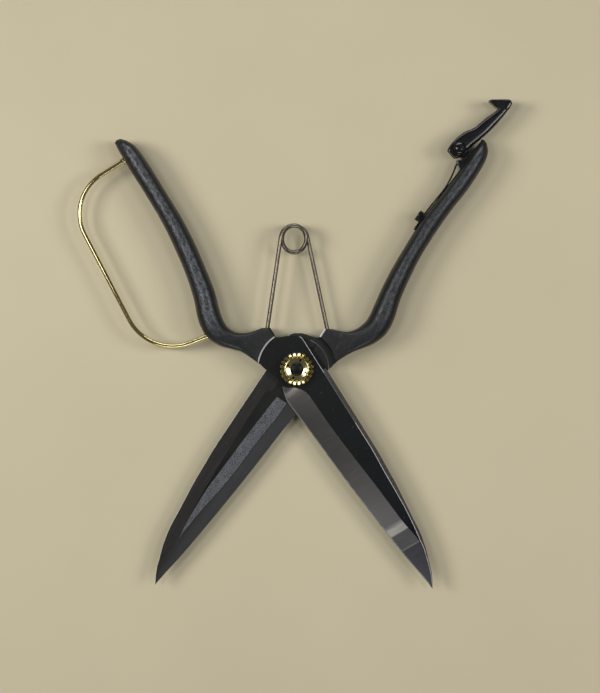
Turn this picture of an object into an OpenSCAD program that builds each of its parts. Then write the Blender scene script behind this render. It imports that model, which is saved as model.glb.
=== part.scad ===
// Long-bladed pruning shears, lying flat and sprung open, with a brass hand guard and a lock latch.
// Millimetres. The origin is on the pivot axis, at the flat underside of the pivot bolt's head.
// +X to the right, +Y from the pivot towards the handles, +Z up. Each arm is drawn in its closed
// pose, where its blade points along -Y, and is then opened about the pivot.

/* [Pose] */
// Angle that the upper arm stands open from its closed pose
open_upper = 32.2; // [20:0.1:36]
// Angle that the lower arm stands open from its closed pose
open_lower = 33.8; // [20:0.1:36]
// Height of the plane where the two blades slide on each other
lap_z = 7; // [6.8:0.1:8]

/* [Blades] */
// Clearance between the two sliding faces
lap_gap = 0.08; // [0.04:0.02:0.2]
// Thickness of the blade at the pivot
plate_t = 4.5; // [4:0.1:5]
// How far the spine bevel drops for each millimetre of its width
spine_drop = 0.6; // [0.3:0.1:0.8]
// Depth of the hollow ground into the sliding face
hollow_depth = 0.9; // [0.4:0.1:1.4]

/* [Handles] */
// Radius of the step where the handle's shoulder meets the blade plate
shoulder_r = 20.3; // [19.5:0.1:21]
// Corners round each handle section
grip_sides = 20; // [16:4:32]
// Rings drawn between two handle stations
grip_steps = 2; // [1:1:4]

/* [Pivot] */
// Radius of the bolt's shank
bolt_r = 3.3; // [3:0.05:3.6]
// Radial running clearance of the upper arm on the shank
bolt_play = 0.06; // [0.02:0.01:0.1]
// Side of the square neck that stops the bolt from turning in the lower arm
neck_side = 7.2; // [6.8:0.1:8]
// Radius of the bolt's head
head_r = 8.5; // [7:0.1:10]
// Outer radius of the brass nut
nut_r = 8.97; // [8:0.01:10]
// Height of the brass nut
nut_h = 3.6; // [3:0.1:4.5]
// Number of lobes round the nut
nut_lobes = 20; // [16:1:24]
// Thickness of the washer under the nut
washer_t = 0.8; // [0.5:0.1:1]

/* [Return spring] */
// Radius of the spring wire
spring_wire_r = 1.1; // [0.9:0.05:1.15]
// Mean radius of the coil
coil_r = 6.9; // [6:0.1:7]
// Rise of the coil in one turn
coil_pitch = 2.7; // [2.6:0.05:2.8]
// Sideways place of the coil's axis
coil_x = -1.4; // [-1.6:0.1:-1.2]
// Distance of the coil's axis from the pivot
coil_y = 68.9; // [68.5:0.1:69.3]

/* [Hand guard] */
// Radius of the guard wire
guard_wire_r = 1.25; // [1:0.05:1.4]
// Bend radius at the guard's top corner
guard_top_bend = 24; // [18:0.5:26]
// Bend radius at the guard's bottom corner
guard_low_bend = 26; // [18:0.5:28]

/* [Latch] */
// Half the thickness of the latch lever
lever_half_t = 3.5; // [3:0.1:4]
// Half the thickness of the bracket's lug, which the lever straddles
lug_half_t = 1.3; // [1:0.1:1.6]
// Radius of the latch screw's shank
latch_screw_r = 1.5; // [1.2:0.1:1.6]
// Radius of the latch screw's head
latch_head_r = 3.35; // [3:0.05:3.6]
// Thickness of the leaf spring
leaf_t = 0.8; // [0.6:0.1:0.9]
// Width of the leaf spring
leaf_w = 5; // [4:0.5:5.5]

/* [Hidden] */
$fn = 64;
wire_sides = 10;

steel = "#2c2d31";
oiled = "#5b5146";
brass = "#c9a24a";
black = "#18181a";

// Handle stations from the end to the shoulder, in the arm's closed pose with the handle at -X:
// [outer x, outer y, inner x, inner y, half thickness, squareness of the section]
upper_grip = [
    [-17.2, 153.0, -15.6, 153.4, 1.5, 2.2], [-17.9, 149.5, -11.8, 150.8, 4.6, 2.3],
    [-18.4, 144.0, -9.3, 144.5, 6.2, 2.4], [-18.6, 134.0, -8.6, 134.0, 6.9, 2.4],
    [-18.6, 118.0, -8.7, 118.0, 7.0, 2.4], [-19.1, 102.8, -8.9, 101.5, 7.0, 2.4],
    [-20.8, 87.5, -10.1, 86.0, 7.0, 2.4], [-23.2, 73.0, -12.6, 70.0, 7.0, 2.4],
    [-26.6, 60.0, -15.0, 57.5, 7.0, 2.4], [-30.0, 51.0, -17.8, 49.0, 7.0, 2.5],
    [-31.5, 43.0, -19.2, 42.5, 7.0, 2.6], [-30.5, 37.0, -18.9, 37.5, 6.9, 2.8],
    [-27.6, 31.6, -16.8, 33.6, 6.6, 3.2], [-23.5, 27.2, -13.0, 30.7, 6.2, 4.0],
    [-20.2, 23.7, -8.5, 29.1, 5.8, 6.0], [-18.0, 19.3, -4.2, 28.3, 5.5, 9.0]];
lower_grip = [
    [-16.6, 155.3, -14.2, 155.5, 1.5, 2.2], [-20.2, 152.4, -14.2, 151.8, 4.6, 2.3],
    [-21.8, 147.0, -14.5, 146.5, 6.2, 2.4], [-22.4, 139.0, -14.4, 138.5, 6.8, 2.4],
    [-22.4, 129.0, -13.2, 128.5, 7.0, 2.4], [-21.4, 116.0, -11.9, 116.0, 7.0, 2.4],
    [-21.0, 103.0, -11.0, 103.0, 7.0, 2.4], [-21.4, 87.0, -11.5, 87.0, 7.0, 2.4],
    [-22.9, 74.0, -12.2, 73.5, 7.0, 2.4], [-25.0, 62.0, -13.5, 61.5, 7.0, 2.4],
    [-28.0, 51.5, -15.3, 51.0, 7.0, 2.5], [-29.1, 44.0, -16.4, 43.5, 7.0, 2.6],
    [-28.2, 38.0, -15.7, 38.5, 6.9, 2.8], [-26.0, 33.0, -14.0, 34.5, 6.6, 3.2],
    [-22.9, 28.4, -11.2, 31.3, 6.2, 4.0], [-20.0, 24.4, -7.9, 29.5, 5.8, 6.0],
    [-17.5, 19.8, -4.2, 28.2, 5.5, 9.0]];
// The shoulder's last two stations, which end in the flat stop face that meets the other arm's
stop_x = -0.25;
upper_shoulder = [[-16.4, 15.5, stop_x, 26.0, 5.5, 14], [-15.2, 12.6, stop_x, 19.8, 5.5, 14]];
lower_shoulder = [[-15.8, 16.0, stop_x, 26.0, 5.5, 14], [-14.9, 12.6, stop_x, 19.8, 5.5, 14]];

// Blade stations from the pivot plate to the tip:
// [y, edge x, bevel line x, ridge line x, spine x, thickness at the edge, thickness]
blade_rows = [
    [18.5, -8.0, -7.8, 0.4, 0.6, 4.3, 4.5], [17.7, -10.0, -9.8, 3.3, 3.6, 4.3, 4.5],
    [15.6, -14.0, -13.8, 7.6, 7.9, 4.3, 4.5], [13.0, -15.2, -15.0, 10.9, 11.2, 4.3, 4.5],
    [8.5, -14.1, -13.9, 11.1, 11.8, 4.3, 4.5], [1.5, -11.7, -11.5, 11.1, 12.4, 4.3, 4.5],
    [-3.9, -11.6, -11.3, 11.1, 12.9, 4.2, 4.5], [-6.2, -12.2, -9.2, 11.1, 13.0, 2.2, 4.5],
    [-9.0, -12.9, -5.2, 11.1, 13.2, 0.7, 4.5], [-14.5, -13.3, -2.1, 11.1, 13.2, 0.4, 4.5],
    [-22.0, -12.8, -1.7, 11.1, 13.2, 0.3, 4.5], [-32.0, -11.8, -1.3, 11.1, 13.2, 0.3, 4.3],
    [-56.0, -10.2, 0.7, 11.0, 13.1, 0.3, 3.9], [-77.0, -8.4, 2.7, 10.0, 12.1, 0.3, 3.4],
    [-98.0, -6.3, 4.4, 8.7, 10.1, 0.3, 2.8], [-111.0, -4.8, 6.2, 7.3, 8.4, 0.3, 2.3],
    [-121.0, -3.5, 4.4, 5.0, 5.9, 0.3, 2.0], [-129.0, -2.3, 2.0, 2.4, 3.1, 0.3, 1.5],
    [-135.0, -1.4, -0.6, -0.4, 0.1, 0.3, 0.9], [-136.6, -1.25, -1.15, -1.05, -0.95, 0.2, 0.5]];
hollow_outline = [
    [4.6, -16.8], [6.0, -17.7], [7.0, -20], [5.7, -68], [5.1, -81], [3.6, -90], [1.2, -108],
    [-0.9, -92], [-2.8, -77], [-4.2, -62], [-4.4, -45], [-5.3, -32], [-5.9, -18.3], [-4.9, -17.3]];

// Clearance round the shoulder step, which the other arm's blade plate turns under
shoulder_gap = 0.2;

// Spring feet: the right one turns in its lug's hole, and the left one has play in its own
foot_right = [3.8, 24.5];
foot_left = [-3.9, 23.9];
foot_hole_left = [-3.8, 24.5];
foot_play_right = 0.1;
foot_play_left = 0.9;
foot_top = 4.6;
foot_end_play = 0.15;
// Slot for the leg: its side play and level play, and the directions of its two sides
leg_play = 0.85;
leg_lift = 0.3;
slot_sides = [14, -54];
slot_len = 14;
// Half the angle of the cut at the coil's middle, where the spring's two halves meet
split_gap = 3.2;

// Guard wire: its ends lie in the handle, and two bends join three straight runs
guard_points = [[-14.5, 142.2], [-55.4, 142.2], [-63.2, 46.1], [-27.0, 39.3]];
guard_play = 0.05;
guard_hole = 12;
collar_play = 0.02;
collar_r = [1.95, 1.7];
collar_seat_x = [-18.0, -30.8];
collar_len = [2.4, 1.5];

// Latch, in the lower arm's closed pose with that handle at +X
latch_x = 6.6;
latch_y = 145;
lever_outline = [
    [1.6, 140.8], [4.9, 139.9], [7.2, 139.1], [9.5, 141.0], [10.6, 147.5], [13.6, 156.3],
    [15.9, 166.2], [16.8, 174.7], [16.3, 179.9], [14.4, 181.2], [6.0, 175.3], [5.8, 174.2],
    [11.5, 173.4], [10.5, 168.5], [8.4, 163.9], [7.9, 159.9], [3.7, 153.6], [1.7, 145.8]];
// Slot in the lever: its radius round the screw, its length, and the directions of its corners
slot_r = 4.6;
slot_reach = 20;
slot_corners = [-142, -100, -50, 0, 46];
slot_play = 0.15;
screw_play = 0.06;
lug_r = 3.4;
lug_root_y = [140.2, 145.9];
base_x = [13.0, 14.9];
base_y = [136.2, 149.3];
base_half_z = 3.5;
base_play = [0.3, 0.1];
rivet_y = [138.0, 147.8];
rivet_r = 0.9;
rivet_len = 4.9;
rivet_head_r = 1.35;
rivet_head_h = 0.5;
leaf_line = [
    [10.7, 96], [10.55, 103.4], [10.85, 110], [11.4, 116], [11.95, 122.5], [11.95, 128],
    [11.3, 133], [9.9, 137.8]];
clamp_y = 103.4;
clamp_head_r = 2.95;
clamp_head_h = 2;
clamp_screw_r = 1.4;
clamp_screw_len = 5;
clamp_face = leaf_line[1][0] - leaf_t / 2 - 0.02;

// Washer's height above the blade plate, and its margin inside the nut's rim
washer_lift = 0.05;
washer_inset = 1.6;
washer_play = 0.1;
neck_play = 0.1;
nut_base_z = lap_z + plate_t + washer_lift + washer_t;
// Spanner slots in the nut's top: the first one's direction, and their radius, width and floor
spanner_turn = 68;
spanner_r = [4.3, 5.8];
spanner_w = 0.9;
spanner_floor = 2.1;

// Catmull-Rom point between b and c
function between(a, b, c, d, t) =
    0.5 * (2 * b + (c - a) * t + (2 * a - 5 * b + 4 * c - d) * t * t
           + (3 * b - a - 3 * c + d) * t * t * t);

// Rows of numbers joined by a smooth curve, with steps points to each row
function smooth(rows, steps) = [
    for (i = [0 : len(rows) - 2]) for (k = [0 : steps - 1])
        between(rows[max(i - 1, 0)], rows[i], rows[i + 1], rows[min(i + 2, len(rows) - 1)], k / steps),
    rows[len(rows) - 1]];

// Superellipse coordinate: a circle's at n = 2, and closer to a square's as n grows
function squared(v, n) = sign(v) * pow(abs(v), 2 / n);

// Section of a handle at one station, from its outer edge to its inner edge
function grip_ring(s) = [
    for (k = [0 : grip_sides - 1])
        let (u = squared(cos(360 * k / grip_sides), s[5]), w = squared(sin(360 * k / grip_sides), s[5]))
            [(s[0] + s[2] + u * (s[2] - s[0])) / 2, (s[1] + s[3] + u * (s[3] - s[1])) / 2, w * s[4]]];

// Section of the blade at one station
function blade_ring(s) = [
    [s[1], s[0], lap_gap / 2], [s[4], s[0], lap_gap / 2],
    [s[4], s[0], s[6] - spine_drop * (s[4] - s[3])], [s[3], s[0], s[6]],
    [s[2], s[0], s[6]], [s[1], s[0], s[5]]];

// Level direction of a path at its point i
function heading(path, i) =
    let (a = path[max(i - 1, 0)], b = path[min(i + 1, len(path) - 1)], d = [b[0] - a[0], b[1] - a[1], 0])
        d / norm(d);

// Rings of a round wire along a nearly level path
function wire_rings(path, r) = [
    for (i = [0 : len(path) - 1]) let (side = cross([0, 0, 1], heading(path, i))) [
        for (k = [0 : wire_sides - 1])
            path[i] + r * (side * cos(360 * k / wire_sides) + [0, 0, 1] * sin(360 * k / wire_sides))]];

// A level polyline's corner, rounded to radius r
function bend(a, b, c, r, steps) =
    let (u = (a - b) / norm(a - b), v = (c - b) / norm(c - b),
         half = acos(u * v) / 2, middle = b + (u + v) / norm(u + v) * r / sin(half),
         from = b + u * r / tan(half) - middle, turn = 180 - 2 * half,
         way = sign(cross([u[0], u[1], 0], [v[0], v[1], 0])[2]))
        [for (k = [0 : steps]) let (t = -way * turn * k / steps)
            middle + [from[0] * cos(t) - from[1] * sin(t), from[0] * sin(t) + from[1] * cos(t)]];

// Point p turned by angle t about the origin
function turned(p, t) = [p[0] * cos(t) - p[1] * sin(t), p[0] * sin(t) + p[1] * cos(t)];

// A closed solid through equal rings that turn anticlockwise about its way forward
module loft(rings) {
    n = len(rings[0]);
    last = len(rings) - 1;
    polyhedron(
        points = [for (ring = rings) for (p = ring) p],
        faces = concat(
            [[for (k = [0 : n - 1]) k]],
            [[for (k = [n - 1 : -1 : 0]) last * n + k]],
            [for (i = [0 : last - 1]) for (k = [0 : n - 1])
                [i * n + k, (i + 1) * n + k, (i + 1) * n + (k + 1) % n]],
            [for (i = [0 : last - 1]) for (k = [0 : n - 1])
                [i * n + k, (i + 1) * n + (k + 1) % n, i * n + (k + 1) % n]]));
}

module in_upper() translate([0, 0, lap_z]) rotate([0, 0, open_upper]) children();
module in_lower() translate([0, 0, lap_z]) rotate([0, 0, -open_lower]) children();
module over() rotate([0, 180, 0]) children();

module handle(stations, shoulder) {
    difference() {
        loft([for (s = concat(smooth(stations, grip_steps), shoulder)) grip_ring(s)]);
        translate([0, 0, plate_t]) cylinder(r = shoulder_r, h = plate_t);
        translate([0, 0, -2 * lap_z]) cylinder(r = shoulder_r + shoulder_gap, h = 2 * lap_z + lap_gap / 2);
    }
}

// Slot in the lug's edge for the spring's leg, and the hole for its foot
module spring_seat(hole, play) {
    slot = spring_wire_r + leg_play;
    translate([hole[0], hole[1], leg_z - spring_wire_r - leg_lift])
        linear_extrude(2 * (spring_wire_r + leg_lift)) {
            circle(r = slot, $fn = 32);
            polygon([turned([-slot, 0], slot_sides[0]), turned([-slot, slot_len], slot_sides[0]),
                     turned([slot, slot_len], slot_sides[1]), turned([slot, 0], slot_sides[1])]);
        }
    translate([hole[0], hole[1], leg_z])
        cylinder(r = spring_wire_r + play, h = foot_top + foot_end_play - leg_z);
}

// One arm in its closed pose: handle at -X, sliding face down
module arm(stations, shoulder, foot_hole, foot_play) {
    difference() {
        union() {
            handle(stations, shoulder);
            loft([for (s = blade_rows) blade_ring(s)]);
        }
        translate([0, 0, lap_gap / 2 - 1]) linear_extrude(hollow_depth + 1) polygon(hollow_outline);
        spring_seat(foot_hole, foot_play);
    }
}

// A cylinder in the XY plane from a towards b, starting a given distance past a
module rod(a, b, r, start, len) {
    translate([a[0], a[1], 0]) rotate([0, 0, atan2(b[1] - a[1], b[0] - a[0])])
        translate([start, 0, 0]) rotate([0, 90, 0]) cylinder(r = r, h = len);
}

// The guard's ends, for its holes and collars: i = 0 at the top and 1 at the bottom
function guard_end(i) = i == 0 ? guard_points[0] : guard_points[3];
function guard_next(i) = i == 0 ? guard_points[1] : guard_points[2];
function seat_depth(i) = guard_end(i)[0] - collar_seat_x[i];

module upper_arm() {
    color(steel) in_upper() difference() {
        arm(upper_grip, upper_shoulder, foot_hole_left, foot_play_left);
        cylinder(r = bolt_r + bolt_play, h = 3 * plate_t, center = true);
        for (i = [0, 1]) {
            rod(guard_end(i), guard_next(i), guard_wire_r + guard_play, -guard_play, guard_hole);
            rod(guard_end(i), guard_next(i), collar_r[i] + collar_play, seat_depth(i), guard_hole / 2);
        }
    }
}

module lower_arm() {
    color(steel) in_lower() difference() {
        over() arm(lower_grip, lower_shoulder, [-foot_right[0], foot_right[1]], foot_play_right);
        cube([neck_side + neck_play, neck_side + neck_play, 3 * plate_t], center = true);
        translate([base_x[1] / 2, base_y[0] - base_play[0], -base_half_z - base_play[1]])
            cube([base_x[1] / 2, base_y[1] - base_y[0] + 2 * base_play[0],
                  2 * (base_half_z + base_play[1])]);
        for (y = rivet_y) translate([base_x[0], y, 0]) rotate([0, 90, 0])
            cylinder(r = rivet_r, h = rivet_len);
        translate([0, clamp_y, 0]) rotate([0, 90, 0])
            cylinder(r = clamp_screw_r, h = clamp_face + clamp_screw_len);
    }
}

module pivot_bolt() {
    top = nut_base_z + nut_h;
    color(black) {
        rotate_extrude() polygon([
            [0, 0], [head_r - 0.8, 0], [head_r, 0.8], [head_r, lap_z - plate_t], [bolt_r, lap_z - plate_t],
            [bolt_r, top - 1.4], [bolt_r - 0.5, top - 0.8], [bolt_r - 1.4, top - 0.4], [0, top - 0.2]]);
        translate([0, 0, lap_z - plate_t / 2 - 0.2]) rotate([0, 0, -open_lower])
            cube([neck_side, neck_side, plate_t + 0.2], center = true);
    }
}

module pivot_washer() {
    color(steel) translate([0, 0, nut_base_z - washer_t]) difference() {
        cylinder(r = nut_r - washer_inset, h = washer_t);
        translate([0, 0, -washer_t]) cylinder(r = bolt_r + washer_play, h = 3 * washer_t);
    }
}

module pivot_nut() {
    color(brass) translate([0, 0, nut_base_z]) difference() {
        rotate_extrude() polygon([
            [bolt_r + 0.02, 0], [nut_r - 0.4, 0], [nut_r, 0.5], [nut_r, 2.0], [nut_r - 0.8, 2.8],
            [6.4, 3.0], [6.0, nut_h], [5.2, nut_h - 0.2], [4.1, 2.4], [bolt_r + 0.02, 2.1]]);
        for (k = [1 : nut_lobes]) rotate([0, 0, 360 * k / nut_lobes])
            translate([nut_r + 0.15, 0, -nut_h]) cylinder(r = 0.75, h = 3 * nut_h, $fn = 24);
        for (k = [0 : 3]) rotate([0, 0, spanner_turn + 90 * k])
            translate([spanner_r[0], -spanner_w / 2, spanner_floor])
                cube([spanner_r[1] - spanner_r[0], spanner_w, nut_h]);
    }
}

// Half of the return spring: its foot, its leg and its part of the coil from angle a to angle b.
// side is -1 for the half that lies low, on the right, and 1 for the high one, on the left.
module spring_half(foot, side, a, b, mean_turn) {
    steps = 20;
    rise = coil_pitch / 360;
    coil = [for (k = [0 : steps]) let (t = a + (b - a) * k / steps)
        [coil_x + coil_r * cos(t), coil_y + coil_r * sin(t), rise * (t - mean_turn)]];
    level = side * leg_z;
    leg = [[foot[0], foot[1], level]];
    path = side < 0 ? concat(leg, coil) : concat(coil, leg);
    translate([0, 0, lap_z]) {
        loft(wire_rings(path, spring_wire_r));
        translate([foot[0], foot[1], side < 0 ? -foot_top : level - spring_wire_r / 2])
            cylinder(r = 0.98 * spring_wire_r, h = foot_top - leg_z + spring_wire_r / 2, $fn = 32);
    }
}

// Angle on the coil where a straight leg from foot meets it
function tangent_turn(foot, side) =
    let (d = [foot[0] - coil_x, foot[1] - coil_y])
        atan2(d[1], d[0]) - side * acos(coil_r / norm(d)) + (side < 0 ? 0 : 540 + 180);

right_foot = turned(foot_right, -open_lower);
left_foot = turned(foot_left, open_upper);
right_turn = tangent_turn(right_foot, -1);
left_turn = tangent_turn(left_foot, 1);
mean_turn = (right_turn + left_turn) / 2;
leg_z = coil_pitch * (left_turn - right_turn) / 720;

module spring_right() {
    color(oiled) spring_half(right_foot, -1, right_turn, mean_turn - split_gap, mean_turn);
}

module spring_left() {
    color(oiled) spring_half(left_foot, 1, mean_turn + split_gap, left_turn, mean_turn);
}

module hand_guard() {
    p = guard_points;
    path = concat([p[0]], bend(p[0], p[1], p[2], guard_top_bend, 12),
                  bend(p[1], p[2], p[3], guard_low_bend, 12), [p[3]]);
    color(brass) in_upper() loft(wire_rings([for (q = path) [q[0], q[1], 0]], guard_wire_r));
}

module guard_collars() {
    color(brass) in_upper() for (i = [0, 1]) difference() {
        rod(guard_end(i), guard_next(i), collar_r[i], seat_depth(i), collar_len[i]);
        rod(guard_end(i), guard_next(i), guard_wire_r + guard_play, 0, guard_hole);
    }
}

module latch_bracket() {
    color(black) in_lower() difference() {
        union() {
            translate([base_x[0], base_y[0], -base_half_z])
                cube([base_x[1] - base_x[0], base_y[1] - base_y[0], 2 * base_half_z]);
            translate([0, 0, -lug_half_t]) linear_extrude(2 * lug_half_t) {
                translate([latch_x, latch_y]) circle(r = lug_r);
                polygon([[latch_x, latch_y - lug_r], [base_x[0] + 0.5, lug_root_y[0]],
                         [base_x[0] + 0.5, lug_root_y[1]], [latch_x, latch_y + lug_r]]);
            }
        }
        translate([latch_x, latch_y, -lap_z]) cylinder(r = latch_screw_r, h = 2 * lap_z);
        for (y = rivet_y) translate([base_x[0], y, 0]) rotate([0, 90, 0])
            cylinder(r = rivet_r, h = rivet_len, center = true);
    }
}

module bracket_rivets() {
    color(steel) in_lower() for (y = rivet_y) translate([base_x[0], y, 0]) rotate([0, 90, 0]) {
        cylinder(r = rivet_r, h = rivet_len);
        translate([0, 0, -rivet_head_h]) cylinder(r = rivet_head_r, h = rivet_head_h);
    }
}

module latch_lever() {
    color(black) in_lower() difference() {
        translate([0, 0, -lever_half_t]) linear_extrude(2 * lever_half_t) polygon(lever_outline);
        translate([latch_x, latch_y, -lug_half_t - slot_play])
            linear_extrude(2 * (lug_half_t + slot_play)) {
                circle(r = slot_r);
                polygon([[0, 0], for (t = slot_corners) slot_reach * [cos(t), sin(t)]]);
            }
        translate([latch_x, latch_y, -lap_z]) cylinder(r = latch_screw_r + screw_play, h = 2 * lap_z);
    }
}

module latch_screw() {
    top = lever_half_t + screw_play;
    low = -top;
    color(black) in_lower() translate([latch_x, latch_y, 0]) difference() {
        rotate_extrude() polygon([
            [0, low - 0.8], [2.0, low - 0.8], [2.3, low - 0.4], [2.3, low], [latch_screw_r, low],
            [latch_screw_r, top], [latch_head_r, top], [latch_head_r, top + 0.5],
            [latch_head_r - 0.8, top + 1.2], [latch_head_r - 2, top + 1.6], [0, top + 1.7]]);
        translate([0, 0, top + 1.5]) rotate([0, 0, 20]) cube([2 * latch_head_r, 0.8, 1.4], center = true);
    }
}

module latch_leaf_spring() {
    last = len(leaf_line) - 1;
    half = leaf_t / 2 * [for (i = [0 : last]) let (d = heading([for (q = leaf_line) [q[0], q[1], 0]], i))
        [-d[1], d[0]]];
    color(steel) in_lower() difference() {
        translate([0, 0, -leaf_w / 2]) linear_extrude(leaf_w) polygon(concat(
            [for (i = [0 : last]) leaf_line[i] + half[i]],
            [for (i = [last : -1 : 0]) leaf_line[i] - half[i]]));
        translate([0, clamp_y, 0]) rotate([0, 90, 0])
            cylinder(r = clamp_screw_r + screw_play, h = 3 * leaf_w);
    }
}

module leaf_spring_screw() {
    color(black) in_lower() translate([clamp_face, clamp_y, 0]) rotate([0, 90, 0]) {
        cylinder(r = clamp_screw_r, h = clamp_screw_len);
        translate([0, 0, -clamp_head_h]) cylinder(r = clamp_head_r, h = clamp_head_h);
    }
}

lower_arm();
upper_arm();
pivot_bolt();
pivot_washer();
pivot_nut();
spring_right();
spring_left();
hand_guard();
guard_collars();
latch_bracket();
bracket_rivets();
latch_lever();
latch_screw();
latch_leaf_spring();
leaf_spring_screw();
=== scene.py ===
"""Looks of a pair of long-bladed pruning shears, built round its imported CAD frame.

Lengths in the tables are millimetres, and MM turns them into metres. Each arm is drawn in its closed
pose, with its blade along -Y, its handle at -X and its sliding face down, and is then put in place.
"""
import math

import bmesh
import bpy
import numpy as np
from mathutils import Matrix, Vector


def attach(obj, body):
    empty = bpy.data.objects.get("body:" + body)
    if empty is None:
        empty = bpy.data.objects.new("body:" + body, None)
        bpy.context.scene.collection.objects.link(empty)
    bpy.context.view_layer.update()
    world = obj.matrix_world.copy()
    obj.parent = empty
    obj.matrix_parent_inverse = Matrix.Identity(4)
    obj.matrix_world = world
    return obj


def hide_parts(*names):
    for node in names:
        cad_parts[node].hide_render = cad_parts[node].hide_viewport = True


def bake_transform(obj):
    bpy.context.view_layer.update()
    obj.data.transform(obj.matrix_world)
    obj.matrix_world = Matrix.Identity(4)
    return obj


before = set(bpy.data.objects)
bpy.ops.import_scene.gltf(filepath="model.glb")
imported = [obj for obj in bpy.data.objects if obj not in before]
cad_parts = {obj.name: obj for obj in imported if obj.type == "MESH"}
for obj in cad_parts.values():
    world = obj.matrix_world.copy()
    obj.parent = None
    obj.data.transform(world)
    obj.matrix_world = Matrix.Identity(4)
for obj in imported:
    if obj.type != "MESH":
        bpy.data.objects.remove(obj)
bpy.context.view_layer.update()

MM = 0.001
UNMOVED = Matrix.Identity(4)

# Pose
LAP_Z = 7.0
OPEN_UPPER = 32.2
OPEN_LOWER = 33.8
LIFT = Matrix.Translation((0, 0, LAP_Z * MM))
UPPER = LIFT @ Matrix.Rotation(math.radians(OPEN_UPPER), 4, "Z")
LOWER = LIFT @ Matrix.Rotation(-math.radians(OPEN_LOWER), 4, "Z")
FLIPPED = LOWER @ Matrix.Rotation(math.pi, 4, "Y")

# Arms
LAP = 0.04
PLATE_T = 4.5
SPINE_DROP = 0.6
SHOULDER_R = 20.3
SHOULDER_CLEAR_R = 20.5
STOP_X = -0.25
SHOULDER_HALF = 5.5
BLADE_TOP = 20.25
BLADE_TIP = -136.7
WORN = 0.75
GRIP_SIDES = 64
GRIP_STEPS = 8

# Return spring
WIRE_R = 1.1
FOOT_RIGHT = (3.8, 24.5)
FOOT_LEFT = (-3.9, 23.9)
FOOT_HOLE_LEFT = (-3.8, 24.5)
FOOT_TOP = 4.6
COIL_CENTRE = (-1.4, 68.9)
COIL_R = 7.1
COIL_SQUEEZE = 0.75
COIL_PITCH = 2.7
LEG_Z = 1.95

# Pivot
BOLT_R = 3.3
HEAD_R = 8.5
NECK_HALF = 3.6
NUT_R = 8.97
NUT_H = 3.6
NUT_PETALS = 20
WASHER_T = 0.8
WASHER_LIFT = 0.05
NUT_Z = LAP_Z + PLATE_T + WASHER_LIFT + WASHER_T

# Hand guard
GUARD_R = 1.25
GUARD_POINTS = [(-14.5, 142.2), (-55.4, 142.2), (-63.2, 46.1), (-27.0, 39.3)]
GUARD_BENDS = (24, 26)
COLLARS = [(1.95, -18.0, 2.4), (1.7, -30.8, 1.5)]

# Latch, in the lower arm's closed pose with that handle at +X
LATCH_AT = (6.6, 145.0)
LEVER_HALF = 3.5
LUG_HALF = 1.3
LATCH_HEAD_R = 3.35
CLAMP_Y = 103.4


# ---------------------------------------------------------------- mesh helpers


def smooth_rows(rows, steps):
    """Rows of numbers joined by a Catmull-Rom curve."""
    rows = np.asarray(rows, float)
    out = []
    for i in range(len(rows) - 1):
        a, b = rows[max(i - 1, 0)], rows[i]
        c, d = rows[i + 1], rows[min(i + 2, len(rows) - 1)]
        for k in range(steps):
            t = k / steps
            out.append(0.5 * (2 * b + (c - a) * t + (2 * a - 5 * b + 4 * c - d) * t * t
                              + (3 * b - a - 3 * c + d) * t ** 3))
    out.append(rows[-1])
    return np.array(out)


def line(points):
    """Smooth function through (place, value) points, which never swings past them."""
    x, y = np.array(sorted(points), float).T
    h, slope = np.diff(x), np.diff(y) / np.diff(x)
    m = np.concatenate([slope[:1], np.zeros(len(x) - 2), slope[-1:]])
    for i in range(1, len(x) - 1):
        if slope[i - 1] * slope[i] > 0:
            w0, w1 = 2 * h[i] + h[i - 1], h[i] + 2 * h[i - 1]
            m[i] = (w0 + w1) / (w0 / slope[i - 1] + w1 / slope[i])

    def value(at):
        i = int(np.clip(np.searchsorted(x, at) - 1, 0, len(h) - 1))
        t = float(np.clip((at - x[i]) / h[i], 0, 1))
        return ((1 + 2 * t) * (1 - t) ** 2 * y[i] + t * (1 - t) ** 2 * h[i] * m[i]
                + t * t * (3 - 2 * t) * y[i + 1] + t * t * (t - 1) * h[i] * m[i + 1])

    return value


def new_piece(name, verts, faces, slots=None, materials=(), place=UNMOVED):
    """An object from millimetre points, with a material slot number for each face."""
    mesh = bpy.data.meshes.new(name)
    mesh.from_pydata([Vector(v) * MM for v in verts], [], [list(f) for f in faces])
    for material in materials:
        mesh.materials.append(material)
    if slots is not None:
        mesh.polygons.foreach_set("material_index", slots)
    tidy_mesh(mesh)
    piece = bpy.data.objects.new(name, mesh)
    bpy.context.scene.collection.objects.link(piece)
    piece.matrix_world = place
    return piece


def settle(piece):
    """Moves the mesh to where the piece stands. Each point's place before that is kept for the materials."""
    mesh = piece.data
    places = np.empty(3 * len(mesh.vertices), dtype=np.float32)
    mesh.vertices.foreach_get("co", places)
    mesh.attributes.new("own_place", "FLOAT_VECTOR", "POINT").data.foreach_set("vector", places)
    mesh.transform(piece.matrix_world)
    piece.matrix_world = UNMOVED


def tidy_mesh(mesh):
    """Joins doubled points and turns every face outwards."""
    work = bmesh.new()
    work.from_mesh(mesh)
    bmesh.ops.remove_doubles(work, verts=work.verts, dist=1e-7)
    bmesh.ops.dissolve_degenerate(work, dist=1e-7, edges=work.edges)
    bmesh.ops.recalc_face_normals(work, faces=work.faces)
    work.to_mesh(mesh)
    work.free()


def ring_faces(count, n, first=0, closed=False):
    """Quads that join count rings of n points, and the two end faces unless the rings close."""
    faces = []
    for i in range(count if closed else count - 1):
        a, b = first + i * n, first + ((i + 1) % count) * n
        faces += [(a + k, b + k, b + (k + 1) % n, a + (k + 1) % n) for k in range(n)]
    if not closed:
        faces += [tuple(first + k for k in range(n)), tuple(first + (count - 1) * n + k for k in range(n))]
    return faces


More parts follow.
